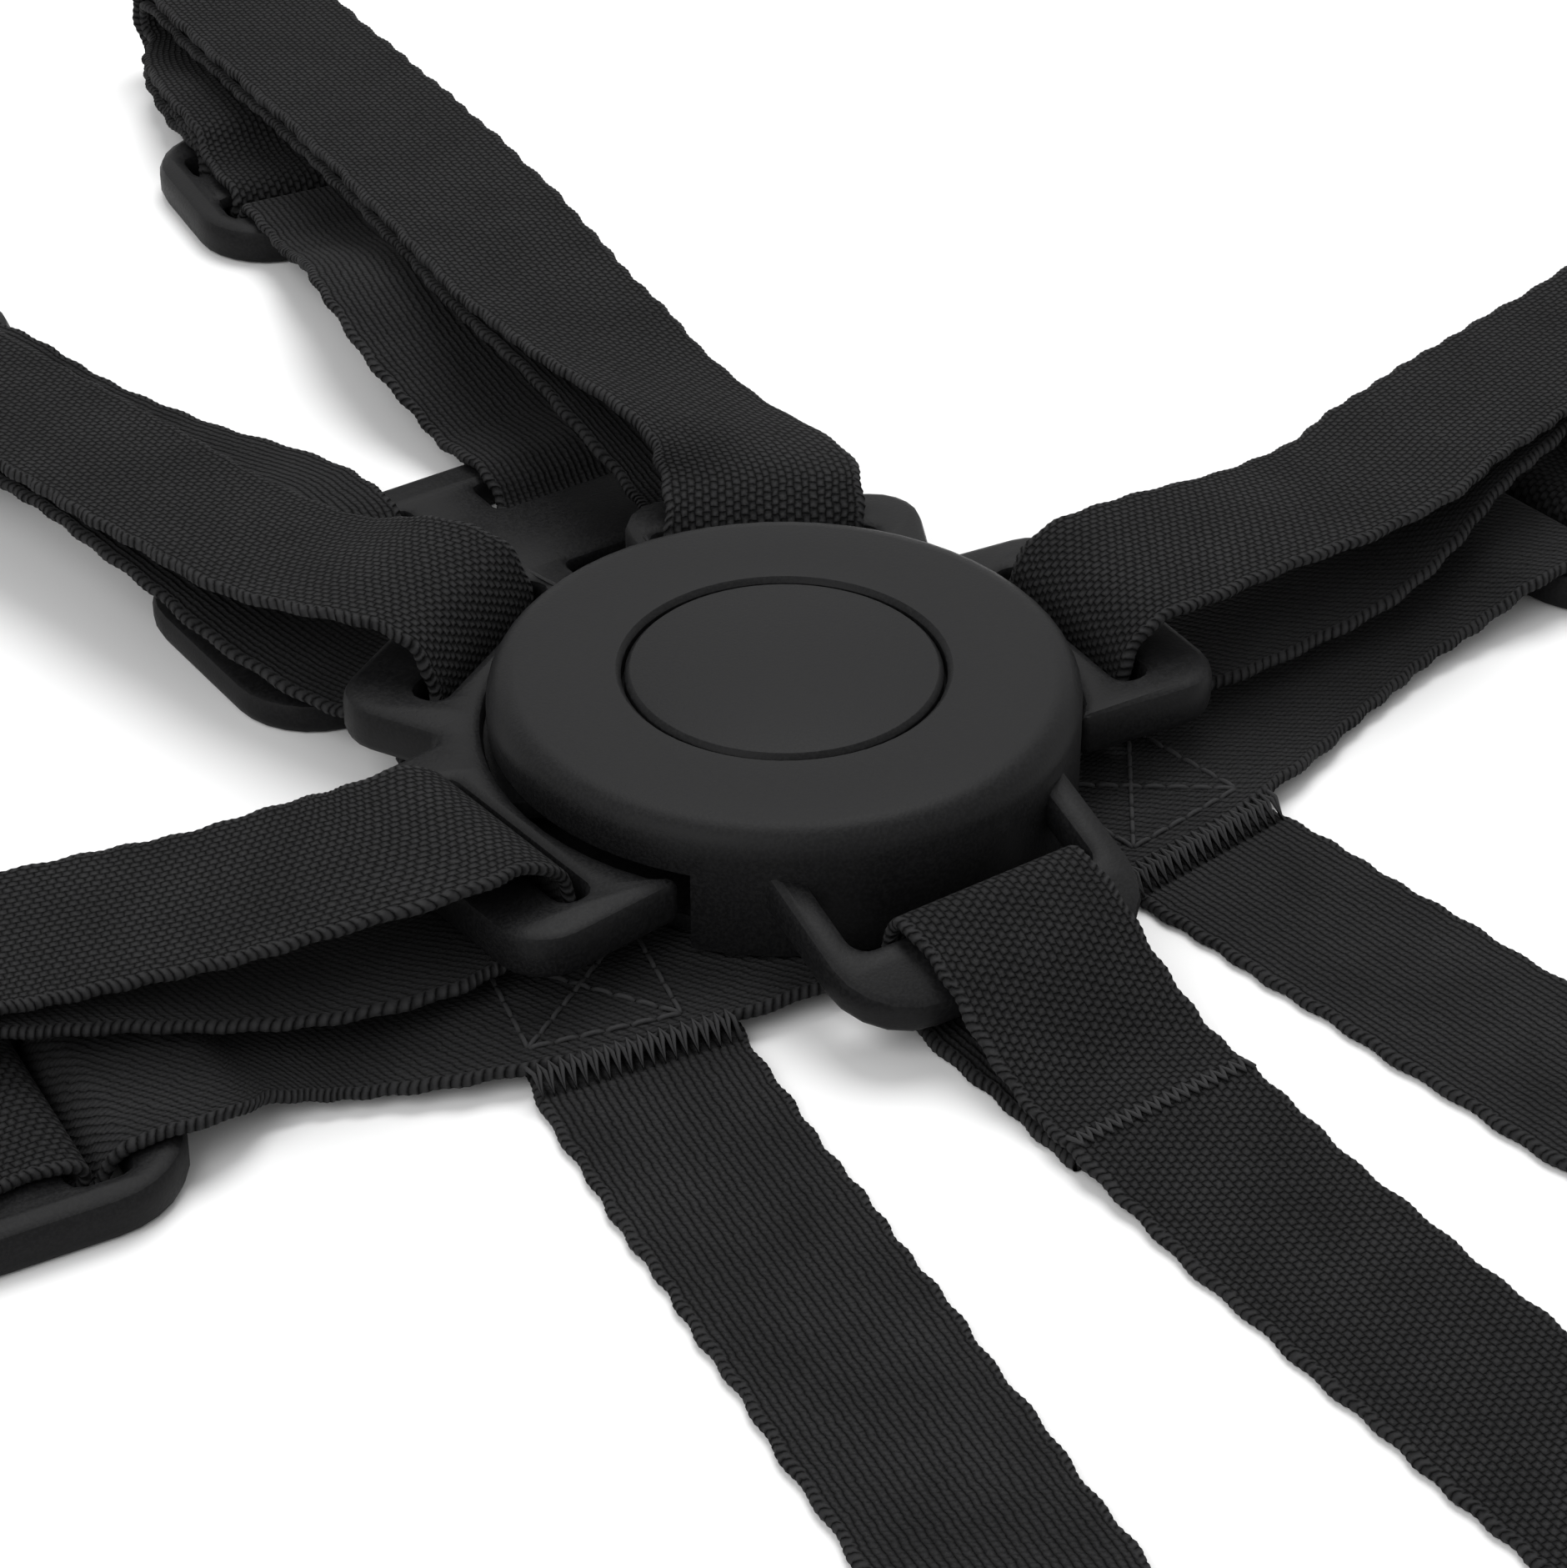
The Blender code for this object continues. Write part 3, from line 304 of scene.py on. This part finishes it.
def sliderLoop(place):
    over = sizes["sliderTop"] + gap + halfStrap
    bar = sizes["sliderBar"] / 2
    edge, half = bar + sizes["sliderSlot"], sizes["sliderLength"] / 2
    barLow = floorZ + layer + halfStrap + gap
    under, top = barLow - gap - halfStrap, barLow + sizes["sliderBarThick"] + gap + halfStrap
    return spots(place, [
        (half + 4.0, over + layer), (edge + 1.6, over + layer), (edge - 0.6, over + layer - 0.4),
        (edge - 3.0, over - 0.4), (bar + 2.0, under + 0.6), (bar + 0.5, under), (0.0, under), (-bar - 0.1, under),
        (-bar - 1.5, under + 0.6), (-bar - 2.0, (under + top) / 2), (-bar - 1.3, top - 0.6),
        (-bar + 0.4, top + 0.1),
        (bar - 0.6, top + 0.2), (edge - 4.0, over + 1.1), (edge - 1.6, over + 2.8), (edge + 1.6, over + 2 * layer),
        (half + 4.0, over + 2 * layer)])


def anchorLoop(place):
    over = sizes["table"] + sizes["anchorThick"] + 2 * gap + halfStrap
    half, bend = sizes["anchorBar"] / 2, (over - floorZ) / 2
    turn = [polar(bend, 45.0 - 45.0 * k) for k in range(3)]
    return spots(place, [
        (-half - 24.0, floorZ), (-half - 17.0, floorZ + 0.7), (-half - 11.0, floorZ + layer + gap),
        (-half - 6.0, floorZ + layer + 3 * gap), (-half - 1.4, over - gap), (-half + 1.0, over), (half, over),
        *((half + u, floorZ + bend + z) for u, z in turn), (half, floorZ), (-half - 4.0, floorZ),
        (-half - 11.0, floorZ)])


def yokeRun(side):
    place = (side * sizes["yokeStrap"], sizes["yokeY"], 90.0, 1)
    over, half = sizes["yokeTop"] + gap + halfStrap, sizes["yokeLength"] / 2
    edge = half - sizes["yokeEdge"]
    inner = edge - sizes["yokeSlot"]
    return spots(place, [
        (-half - 5.0, over - 1.8), (-half + 0.5, over), (-edge - 1.0, over), (-edge + 1.7, over - 1.2),
        (-edge + 3.6, floorZ + 1.0), (-inner - 0.8, floorZ), (0.0, floorZ), (inner + 0.8, floorZ),
        (edge - 3.6, floorZ + 1.0), (edge - 1.7, over - 1.2), (edge + 1.0, over), (half - 0.5, over),
        (half + 5.0, over - 0.5)])


cut = "cut"          # a strap is one webbing, made in stretches that meet where it is cut here


def waistRoute():
    left, right = sliderPlaces["leftWaist"], sliderPlaces["rightWaist"]
    leftRun, rightRun = sliderRun(left), sliderRun(right)
    return [
        *sliderLoop(left), *free([(-140, 2.6, 3.2), (-150, 6.2, 2.7)]), cut,
        *turnBack(turnPlaces["leftWaist"], turnInner),
        *free([(-140, 11.2, 8.0), (-120, 13.8, 7.9), (-100, 11.8, 7.4), (-87, 7.4, 6.4), (-74, 1.6, 4.8),
               (-63, -2.4, 3.2)]),
        *slotTurn(tongueSlot(-1, 1), 5.0),
        *free([(-60, -1.6, 13.4), (-74, 2.4, 11.9), (-87, 7.8, 10.4), (-100, 11.8, 9.8), (-120, 13.8, 10.2),
               (-140, 11.2, 10.5)]),
        *turnBack(turnPlaces["leftWaist"], turnOuter)[::-1], *free([(-150, 6.2, 0.2)]), cut,
        *free([(-140, 2.6, 0.5)]), *leftRun[:6:-1], cut, *leftRun[6::-1],
        *free([(-74, -4.6, -1.4), (-62, -9.0, -2.4), (-51, -14.2, crossZ), (-40, -17.6, crossZ),
               (-28, -19.8, crossZ), (-16, -21.4, underZ), (0, -22.8, underZ)]), cut,
        *free([(12, -23.4, underZ), (22, -23.4, crossZ), (33, -22.2, crossZ), (45, -19.2, crossZ),
               (57, -15.0, -2.6), (72, -10.2, -2.4), (88, -7.6, -0.9)]),
        *rightRun[:8], cut, *rightRun[8:],
        *free([(150, -2.4, 0.6), (160, 3.4, 0.3), (169, 11.0, 0.2)]), cut,
        *turnBack(turnPlaces["rightWaist"], turnOuter),
        *free([(166, 16.8, 10.8), (150, 14.8, 11.2), (134, 11.2, 12.2, -4), (114, 6.2, 13.2, -5),
               (95, 1.2, 13.6, -5), (85, -2.4, 13.9, -5), (74, -4.3, 14.3, -5), (63.5, -4.4, 14.8, -4)]),
        *slotTurn(tongueSlot(1, 1), 5.6)[::-1],
        *free([(64, -4.4, 3.2), (80, -3.6, 5.4), (95, 1.0, 8.6, -4), (114, 6.2, 10.6, -5),
               (134, 11.2, 9.9, -4), (150, 14.8, 8.9), (166, 16.8, 8.2)]),
        *turnBack(turnPlaces["rightWaist"], turnInner)[::-1], *free([(169, 11.0, 2.9)]), cut,
        *free([(160, 3.4, 3.4), (150, -2.4, 4.5)]), *sliderLoop(right)[::-1],
    ]


def leftShoulderRoute():
    slider = sliderPlaces["leftShoulder"]
    run, yoke = sliderRun(slider)[::-1], yokeRun(-1)[::-1]
    return [
        *sliderLoop(slider), *free([(-57, 190, 3.0)]), cut,
        *turnBack(turnPlaces["leftShoulder"], turnInner),
        *free([(-58.4, 186, 8.1), (-54, 165, 8.2), (-48.4, 138, 8.4, 3), (-43, 113, 8.5, 6), (-39.6, 97, 8.6, 7),
               (-37.2, 84, 8.2, 7), (-34.4, 69.5, 6.6, 5), (-30.6, 56, 3.8)]),
        *slotTurn(tongueSlot(-1, -1), 6.4),
        *free([(-30.8, 55, 12.4, 3), (-34.4, 69.5, 11.3, 7), (-37.2, 84, 11.0, 7), (-39.6, 97, 11.0, 7),
               (-43, 113, 10.9, 6), (-48.4, 138, 10.8, 3), (-54, 165, 10.7), (-58.4, 186, 10.6)]),
        *turnBack(turnPlaces["leftShoulder"], turnOuter)[::-1], *free([(-57, 190, 0.4)]), cut,
        *run[:8], cut, *run[8:],
        *free([(-32, 128, -1.6), (-26, 113, -3.0)]), cut, *free([(-21, 99, -2.0)]),
        *yoke[:7], cut, *yoke[7:],
        *free([(-21.5, 26, -3.2), (-26, 10, floorZ), (-31.5, -6, floorZ), (-36.4, -20, floorZ),
               (-40.4, -36, floorZ), (-46.5, -76, floorZ), (-52, -112, floorZ), (-57.5, -148, floorZ)]),
        *anchorLoop(anchorPlaces["left"]),
    ]


def rightShoulderRoute():
    slider = sliderPlaces["rightShoulder"]
    run, yoke = sliderRun(slider)[::-1], yokeRun(1)[::-1]
    return [
        *sliderLoop(slider), *free([(36.2, 201, 3.0)]), cut,
        *turnBack(turnPlaces["rightShoulder"], turnInner),
        *free([(40.4, 200, 8.2), (38.4, 182, 8.9), (36, 158, 9.8), (33, 135, 10.8), (29.8, 113, 11.4, 1),
               (27.2, 97, 11.3, 4), (26.2, 84, 10.6, 9), (25.8, 70, 8.4, 11), (26.4, 57, 5.2, 5)]),
        *slotTurn(tongueSlot(1, -1), 5.0)[:-1],
        *free([(25.0, 46.5, 14.0, 12), (25.2, 57, 14.0, 18), (25.0, 69, 13.9, 15), (25.9, 82, 13.9, 9),
               (27.2, 97, 13.9, 4), (29.8, 113, 13.8, 1), (33, 135, 13.2), (36, 158, 12.2), (38.4, 182, 11.4),
               (40.4, 200, 10.8)]),
        *turnBack(turnPlaces["rightShoulder"], turnOuter)[::-1], *free([(36.2, 201, 0.4)]), cut,
        *run[:8], cut, *run[8:],
        *free([(24.6, 137, 3.0), (21.4, 125, 6.6), (18.2, 113, 7.4)]), cut,
        *free([(17.4, 104, 5.2), (17.8, 96, 2.4)]),
        *yoke[:7], cut, *yoke[7:],
        *free([(21.5, 26, -3.2), (25.6, 8, floorZ), (30, -12, floorZ), (32.8, -28, floorZ), (35.6, -50, floorZ),
               (39, -80, floorZ), (43.3, -117, floorZ), (46.8, -146, floorZ)]),
        *anchorLoop(anchorPlaces["right"]),
    ]


def crotchRoute():
    reachY, drop = polar(10.0, 18.0)
    barZ = 6.0 - drop
    place = (0.0, -33.5 - reachY, 90.0, -1)
    return [
        *spots(place, [(26.5, floorZ), (14, floorZ), (4, floorZ), (-2.4, floorZ + 0.4), (-5.2, floorZ + 2.0),
                       (-6.4, barZ - 1.7), (-6.5, barZ + 1.3), (-6.1, barZ + 3.4), (-4.8, barZ + 4.9),
                       (-2.8, barZ + 5.1), (0.0, barZ + 4.2), (4.0, barZ + 2.7), (7.3, barZ + 0.7),
                       (11.2, barZ - 1.6), (18.2, -1.7), (25.7, floorZ + layer), (33.7, floorZ + 0.7),
                       (43.7, floorZ), (81.7, floorZ)]),
        *anchorLoop(anchorPlaces["crotch"]),
    ]


def steered(stations):
    done = [stations[0]]
    for here, after in zip(stations[1:], [*stations[2:], stations[-1]]):
        x, y, z, direction, roll = here
        before = done[-1]
        if math.isnan(direction):
            direction = math.degrees(math.atan2(after[1] - before[1], after[0] - before[0]))
        direction -= 180.0 * round((direction - before[3]) / 180.0)
        done.append((x, y, z, direction, roll))
    return done


def finePath(route, step):
    # smooth curve through the stations, at even steps; also where the cuts fall
    stations = steered([s for s in route if s is not cut])
    cutAfter, seen = [], 0
    for s in route:
        if s is cut:
            cutAfter.append(seen - 1)
        else:
            seen += 1
    points = np.array(stations)
    knots = np.array([2 * points[0] - points[1], *points, 2 * points[-1] - points[-2]])
    fine, atStation = [], []
    for a, b, c, d in zip(knots, knots[1:], knots[2:], knots[3:]):
        t = np.cumsum([0.0, *(math.dist(p[:3], q[:3]) ** 0.5 for p, q in ((a, b), (b, c), (c, d)))])
        atStation.append(len(fine))
        for at in np.linspace(t[1], t[2], 24, endpoint=False):
            ab = a + (b - a) * (at - t[0]) / (t[1] - t[0])
            bc = b + (c - b) * (at - t[1]) / (t[2] - t[1])
            cd = c + (d - c) * (at - t[2]) / (t[3] - t[2])
            abc = ab + (bc - ab) * (at - t[0]) / (t[2] - t[0])
            bcd = bc + (cd - bc) * (at - t[1]) / (t[3] - t[1])
            fine.append(abc + (bcd - abc) * (at - t[1]) / (t[2] - t[1]))
    fine.append(points[-1])
    atStation.append(len(fine) - 1)
    fine = np.array(fine)
    run = np.concatenate([[0.0], np.cumsum(np.linalg.norm(np.diff(fine[:, :3], axis=0), axis=1))])
    count = int(run[-1] / step)
    even = np.linspace(0.0, run[-1], count + 1)
    path = np.stack([np.interp(even, run, fine[:, k]) for k in range(5)], axis=1)
    cuts = [int(round(run[atStation[k]] / run[-1] * count)) for k in cutAfter]
    return path, even, [0, *cuts, count]


strapShape = {"step": 0.5, "beadReach": 0.16, "sway": 0.34, "section": (0.0, 4.0, 8.0, 10.6, 11.8, 12.3)}


def makeStrap(name, route, faceUp, faceDown):
    # the webbing as a closed ribbon: flat faces, rounded edges and a beaded selvedge
    path, run, cuts = finePath(route, strapShape["step"])
    centre = path[:, :3]
    tangent = np.gradient(centre, axis=0)
    tangent /= np.linalg.norm(tangent, axis=1)[:, None]
    turn, roll = np.radians(path[:, 3] + 90.0), np.radians(path[:, 4])
    side = np.stack([np.cos(roll) * np.cos(turn), np.cos(roll) * np.sin(turn), np.sin(roll)], axis=1)
    up = np.cross(tangent, side)
    up /= np.linalg.norm(up, axis=1)[:, None]
    half, thick = sizes["strapWidth"] / 2, sizes["strapThick"] / 2
    bead = np.where(np.arange(len(run)) % 2 == 0, strapShape["beadReach"], 0.0)
    sway = [strapShape["sway"] * (np.sin(run / 0.95 + 9.0 * k + 2.0 * np.sin(run / 11.0)) * 0.6
                                  + np.sin(run / 2.9 + 4.0 * k) * 0.4 - 1.0) for k in (0, 1)]
    across, lift = [], []
    flat = [-x for x in strapShape["section"][:0:-1]] + list(strapShape["section"])
    for x in flat:
        across.append(x)
        lift.append(thick if abs(x) < 11.9 else thick * 0.72)
    upper = list(zip(across, lift))
    ring = [*upper, (half, 0.0), *((x, -z) for x, z in reversed(upper)), (-half, 0.0)]
    rows = []
    for x, z in ring:
        edge = max(0.0, (abs(x) - 10.0) / (half - 10.0))
        wave = sway[0] if x > 0 else sway[1]
        reach = x + math.copysign(1.0, x) * edge * (wave + bead - strapShape["beadReach"])
        rows.append(centre + side * reach[:, None] + up * z)
    points = np.stack(rows, axis=1) * mm
    # one set of normals for the whole strap, so that no seam shows where stretches meet
    around = np.roll(points, -1, axis=1) - np.roll(points, 1, axis=1)
    normals = np.cross(around, np.gradient(points, axis=0))
    normals /= np.linalg.norm(normals, axis=2)[:, :, None]
    faceCount = len(flat) - 1
    pieces = []
    for k, (first, last) in enumerate(zip(cuts, cuts[1:])):
        stretch = slice(first, last + 1)
        pieces.append(ribbon(f"{name}{k + 1}", points[stretch], normals[stretch], [x for x, z in ring],
                             run[stretch], faceCount, faceUp, faceDown))
    print(name, "webbing", round(run[-1] / 1000, 3), "m in", len(pieces), "stretches")
    return pieces


def ribbon(name, points, normals, across, run, faceCount, faceUp, faceDown):
    rowCount, ringCount = points.shape[:2]
    mesh = bpy.data.meshes.new(name)
    index = np.arange(rowCount * ringCount).reshape(rowCount, ringCount)
    ahead = np.roll(index, -1, axis=1)
    quads = np.stack([index[:-1], ahead[:-1], ahead[1:], index[1:]], axis=2).reshape(-1, 4)
    caps = [index[0][::-1].tolist(), index[-1].tolist()]
    mesh.from_pydata(points.reshape(-1, 3).tolist(), [], quads.tolist() + caps)
    lay = mesh.attributes.new("lay", "FLOAT_VECTOR", "POINT")
    values = np.zeros((rowCount, ringCount, 3), np.float32)
    values[:, :, 0] = np.array(across)[None]
    values[:, :, 1] = np.array(run)[:, None]
    lay.data.foreach_set("vector", values.ravel())
    mesh.materials.append(faceUp)
    mesh.materials.append(faceDown)
    upper = np.arange(ringCount) <= faceCount
    slots = np.concatenate([np.tile(np.where(upper, 0, 1), rowCount - 1), [0, 0]])
    mesh.polygons.foreach_set("material_index", slots.astype(np.int32))
    mesh.shade_smooth()
    for cap in mesh.polygons[-2:]:
        cap.use_smooth = False
    mesh.update()
    mesh.normals_split_custom_set_from_vertices(normals.reshape(-1, 3).tolist())
    obj = bpy.data.objects.new(name, mesh)
    scene.collection.objects.link(obj)
    obj["length"] = float(run[-1] - run[0])
    return obj


# sewing thread, in mm: zigzag rows over a strap's edge, and a crossed box where straps are sewn together
threadLook = {"radius": 0.28, "sides": 6, "pitch": 0.62, "stitch": 2.6, "lift": 0.12}


def threadTube(line):
    points = np.array(line, dtype=float)
    tangent = np.gradient(points, axis=0)
    tangent /= np.linalg.norm(tangent, axis=1)[:, None]
    sideways = np.cross(tangent, (0.0, 0.0, 1.0))
    sideways /= np.linalg.norm(sideways, axis=1)[:, None]
    upward = np.cross(sideways, tangent)
    turns = np.linspace(0.0, 2 * math.pi, threadLook["sides"], endpoint=False)
    rings = [points + threadLook["radius"] * (sideways * math.cos(t) + upward * math.sin(t)) for t in turns]
    return np.stack(rings, axis=1)


def makeStitches(name, lines, material):
    verts, faces = [], []
    for line in lines:
        tube = threadTube(line)
        rowCount, sideCount = tube.shape[:2]
        index = np.arange(rowCount * sideCount).reshape(rowCount, sideCount) + len(verts)
        ahead = np.roll(index, -1, axis=1)
        faces += np.stack([index[:-1], index[1:], ahead[1:], ahead[:-1]], axis=2).reshape(-1, 4).tolist()
        faces += [index[0].tolist(), index[-1][::-1].tolist()]
        verts += (tube.reshape(-1, 3) * mm).tolist()
    mesh = bpy.data.meshes.new(name)
    mesh.from_pydata(verts, [], faces)
    mesh.materials.append(material)
    mesh.shade_smooth()
    obj = bpy.data.objects.new(name, mesh)
    scene.collection.objects.link(obj)
    return obj


def zigzag(start, end, reach, zUpper, zLower):
    # thread that crosses a row to and fro, higher on the side of the upper strap
    start, end = np.array(start, dtype=float), np.array(end, dtype=float)
    length = np.linalg.norm(end - start)
    ahead = (end - start) / length
    across = np.array([-ahead[1], ahead[0]])
    count = int(length / threadLook["pitch"])
    line = []
    for k in range(count + 1):
        above = k % 2 == 0
        x, y = start + (end - start) * k / count + across * reach * (1 if above else -1)
        line.append((x, y, zUpper if above else zLower))
        if k < count:
            x, y = start + (end - start) * (k + 0.5) / count
            line.append((x, y, max(zUpper, zLower) + threadLook["lift"]))
    return line


def dashes(start, end, z):
    # single stitches in a row, each dipping into the webbing at its ends
    start, end = np.array(start, dtype=float), np.array(end, dtype=float)
    count = max(1, int(np.linalg.norm(end - start) / threadLook["stitch"]))
    lines = []
    for k in range(count):
        places = [start + (end - start) * (k + part) / count for part in (0.06, 0.25, 0.5, 0.75, 0.94)]
        lines.append([(x, y, z + dip) for (x, y), dip in zip(places, (-0.2, 0.05, 0.1, 0.05, -0.2))])
    return lines


def crossedBox(centre, half, degrees, z):
    corners = []
    for k in range(4):
        dx, dy = polar(half * math.sqrt(2), degrees + 45.0 + 90.0 * k)
        corners.append((centre[0] + dx, centre[1] + dy))
    rows = [*zip(corners, corners[1:] + corners[:1]), (corners[0], corners[2]), (corners[1], corners[3])]
    return [line for start, end in rows for line in dashes(start, end, z)]


def layStrap(pieces, node, bends):
    # each stretch stands in for the solid strap: one with no moving piece rides the harness, the others stay where
    # they lie
    for piece, bend in zip(pieces, bends):
        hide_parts(node)
        piece["length"] * mm
        if bend is None:
            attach(piece, "harness")
        else:
            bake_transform(piece)


def alongPlace(place, u):
    x, y, direction, outboard = place
    dx, dy = polar(outboard * u, direction)
    return x + dx, y + dy, 0.0


def sliderBend(key, body, start, end):
    place = sliderPlaces[key]
    return body, alongPlace(place, start), alongPlace(place, end)


straps = {}
straps["waist"] = makeStrap("waistStrap", waistRoute(), twillWeave, brickWeave)
leftSlide = sliderBend("leftWaist", "left_waist_slider_body", 50, 24)
rightSlide = sliderBend("rightWaist", "right_waist_slider_body", 50, 24)
layStrap(straps["waist"], "waist_strap", [
    leftSlide,
    ("left_tongue_body", (-140, 10, 0), (-62, -3, 0)),
    leftSlide,
    sliderBend("leftWaist", "left_waist_slider_body", -50, -24),
    sliderBend("rightWaist", "right_waist_slider_body", -50, -24),
    rightSlide,
    ("right_tongue_body", (150, 12, 0), (62, -4, 0)),
    rightSlide,
])
for side, key in ((-1, "left"), (1, "right")):
    route = leftShoulderRoute() if side < 0 else rightShoulderRoute()
    straps[key] = makeStrap(f"{key}ShoulderStrap", route, brickWeave, ribWeave)
    slide = sliderBend(f"{key}Shoulder", f"{key}_shoulder_slider_body", 46, 24)
    ear = tongueSlot(side, -1)
    layStrap(straps[key], f"{key}_shoulder_strap", [
        slide,
        (f"{key}_tongue_body", (side * 40, 150, 0), alongPlace(ear, 12)),
        slide,
        sliderBend(f"{key}Shoulder", f"{key}_shoulder_slider_body", -46, -24),
        ("back_yoke_body", (side * 18.5, 112, 0), (side * 18.5, 88, 0)),
        ("back_yoke_body", (side * 18.5, 14, 0), (side * 18.5, 38, 0)),
    ])
straps["crotch"] = makeStrap("crotchStrap", crotchRoute(), ribWeave, brickWeave)
layStrap(straps["crotch"], "crotch_strap", [None])
print("straps laid")

# the waist strap is sewn over the two tails, and the crotch strap's end to its own run
topOfCrossing, topOfTail = crossZ + halfStrap + 0.1, floorZ + halfStrap + 0.15
crotchTop = floorZ + layer + halfStrap + 0.15
seams = {
    "leftCrossSeam": [zigzag((-51.5, -28.6), (-28.4, -32.3), 1.5, topOfCrossing, topOfTail),
                      *crossedBox((-39.0, -18.2), 8.5, -14.0, topOfCrossing)],
    "rightCrossSeam": [zigzag((21.6, -36.2), (45.0, -33.4), 1.5, topOfCrossing, topOfTail),
                       *crossedBox((32.6, -22.3), 8.5, 8.0, topOfCrossing)],
    "crotchSeam": [zigzag((-11.6, -68.6), (11.6, -68.6), 1.0, crotchTop, crotchTop)],
}
for seamName, lines in seams.items():
    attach(makeStitches(seamName, lines, thread), "harness")
print("seams sewn")


# moulded and steel pieces keep the solids' shapes; their edges are eased and their curves shaded smooth
edgeEase = {"weld": 0.000001, "width": 0.00045, "segments": 2, "sharp": math.radians(38)}


def makeSmoother(sharp):
    group = bpy.data.node_groups.new("smoothCurves", "GeometryNodeTree")
    group.interface.new_socket("Geometry", in_out="INPUT", socket_type="NodeSocketGeometry")
    group.interface.new_socket("Geometry", in_out="OUTPUT", socket_type="NodeSocketGeometry")
    kinds = ("NodeGroupInput", "GeometryNodeSetShadeSmooth", "GeometryNodeSetShadeSmooth", "NodeGroupOutput")
    start, faces, edges, end = (group.nodes.new(kind) for kind in kinds)
    angle = group.nodes.new("GeometryNodeInputMeshEdgeAngle")
    steep = group.nodes.new("FunctionNodeCompare")
    edges.domain = "EDGE"
    steep.inputs["B"].default_value = sharp
    edges.inputs["Shade Smooth"].default_value = False
    for output, into in ((start.outputs[0], faces.inputs["Geometry"]),
                         (faces.outputs[0], edges.inputs["Geometry"]),
                         (angle.outputs["Unsigned Angle"], steep.inputs["A"]),
                         (steep.outputs["Result"], edges.inputs["Selection"]),
                         (edges.outputs[0], end.inputs[0])):
        group.links.new(output, into)
    return group


smoother = makeSmoother(edgeEase["sharp"])


def easeEdges(obj):
    weld = obj.modifiers.new("weld", "WELD")
    weld.merge_threshold = edgeEase["weld"]
    bevel = obj.modifiers.new("ease", "BEVEL")
    bevel.width, bevel.segments = edgeEase["width"], edgeEase["segments"]
    bevel.limit_method, bevel.angle_limit = "ANGLE", edgeEase["sharp"]
    smooth = obj.modifiers.new("smooth", "NODES")
    smooth.node_group = smoother


metalNodes = ("screw", "rivet")
for node, obj in ((name, bpy.data.objects[name]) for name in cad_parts):
    if node.endswith("strap") or node.endswith("spring"):
        continue
    finish = steel if any(kind in node for kind in metalNodes) else plastic
    for materialSlot in obj.material_slots:
        materialSlot.material = finish
    easeEdges(obj)
print("hard pieces finished")

# the springs under the button, copied in steel; each is listed with its held end and the end that the button presses
springReach = {"coilFoot": 3.1, "coilHead": 1.0, "leafRoot": 23.0, "leafTip": 11.0}


def makeSpring(name, node, start, end):
    mesh = bpy.data.objects[node].data.copy()
    mesh.materials.clear()
    mesh.materials.append(steel)
    spring = bpy.data.objects.new(name, mesh)
    scene.collection.objects.link(spring)
    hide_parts(node)
    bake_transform(spring)


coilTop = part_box("button_spring")[1][2] / mm
makeSpring("coilSpring", "button_spring", (0, 0, springReach["coilFoot"]), (0, 0, coilTop - springReach["coilHead"]))
for word, angle in (("left", sizes["tongueAngle"]), ("right", 180.0 - sizes["tongueAngle"])):
    makeSpring(f"{word}LeafSpring", f"{word}_catch_spring", (*polar(springReach["leafRoot"], angle), 0),
               (*polar(springReach["leafTip"], angle), 0))
print("springs fitted")


floorLook = {"pale": (0.86, 0.86, 0.86), "size": 3.0}


def makeFloor(look):
    mesh = bpy.data.meshes.new("floor")
    work = bmesh.new()
    bmesh.ops.create_grid(work, x_segments=8, y_segments=8, size=look["size"] / 2)
    work.to_mesh(mesh)
    work.free()
    material, wires, shader = newMaterial("paleFloor", {"Roughness": 0.6, "Specular IOR Level": 0.2})
    cloud = wires.node("TexNoise", {}, {"Vector": wires.node("NewGeometry", out=0), "Scale": 3.0})
    feed(wires, shader, Base_Color=shade(wires, [c * 0.985 for c in look["pale"]], look["pale"], cloud))
    mesh.materials.append(material)
    floor = bpy.data.objects.new("floor", mesh)
    floor.location.z = sizes["table"] * mm
    scene.collection.objects.link(floor)


lamps = {"keyLamp": {"place": (0.34, 0.40, 1.15), "size": 0.9, "power": 12.0},
         "fillLamp": {"place": (-0.9, -0.3, 0.9), "size": 1.0, "power": 7.5}}


def makeLamp(name, lamp):
    data = bpy.data.lights.new(name, "AREA")
    data.shape = "DISK"
    data.size = lamp["size"]
    data.energy = lamp["power"]
    obj = bpy.data.objects.new(name, data)
    obj.location = lamp["place"]
    obj.rotation_euler = Vector(lamp["place"]).to_track_quat("Z", "Y").to_euler()
    scene.collection.objects.link(obj)


def makeWorld(strength):
    world = bpy.data.worlds.new("studio")
    world.use_nodes = True
    scene.world = world
    backdrop = world.node_tree.nodes["Background"]
    backdrop.inputs["Color"].default_value = (1, 1, 1, 1)
    wires = Wire(world.node_tree)
    # camera, glossy and transmission rays see plain white
    camera, glossy, through = (wires.node("LightPath", out=k) for k in (0, 3, 6))
    seen = camera.most(glossy).most(through)
    world.node_tree.links.new((seen * (1 - strength) + strength).socket, backdrop.inputs["Strength"])


makeFloor(floorLook)
for lampName, lampSetup in lamps.items():
    makeLamp(lampName, lampSetup)
makeWorld(0.55)
print("floor and light set")
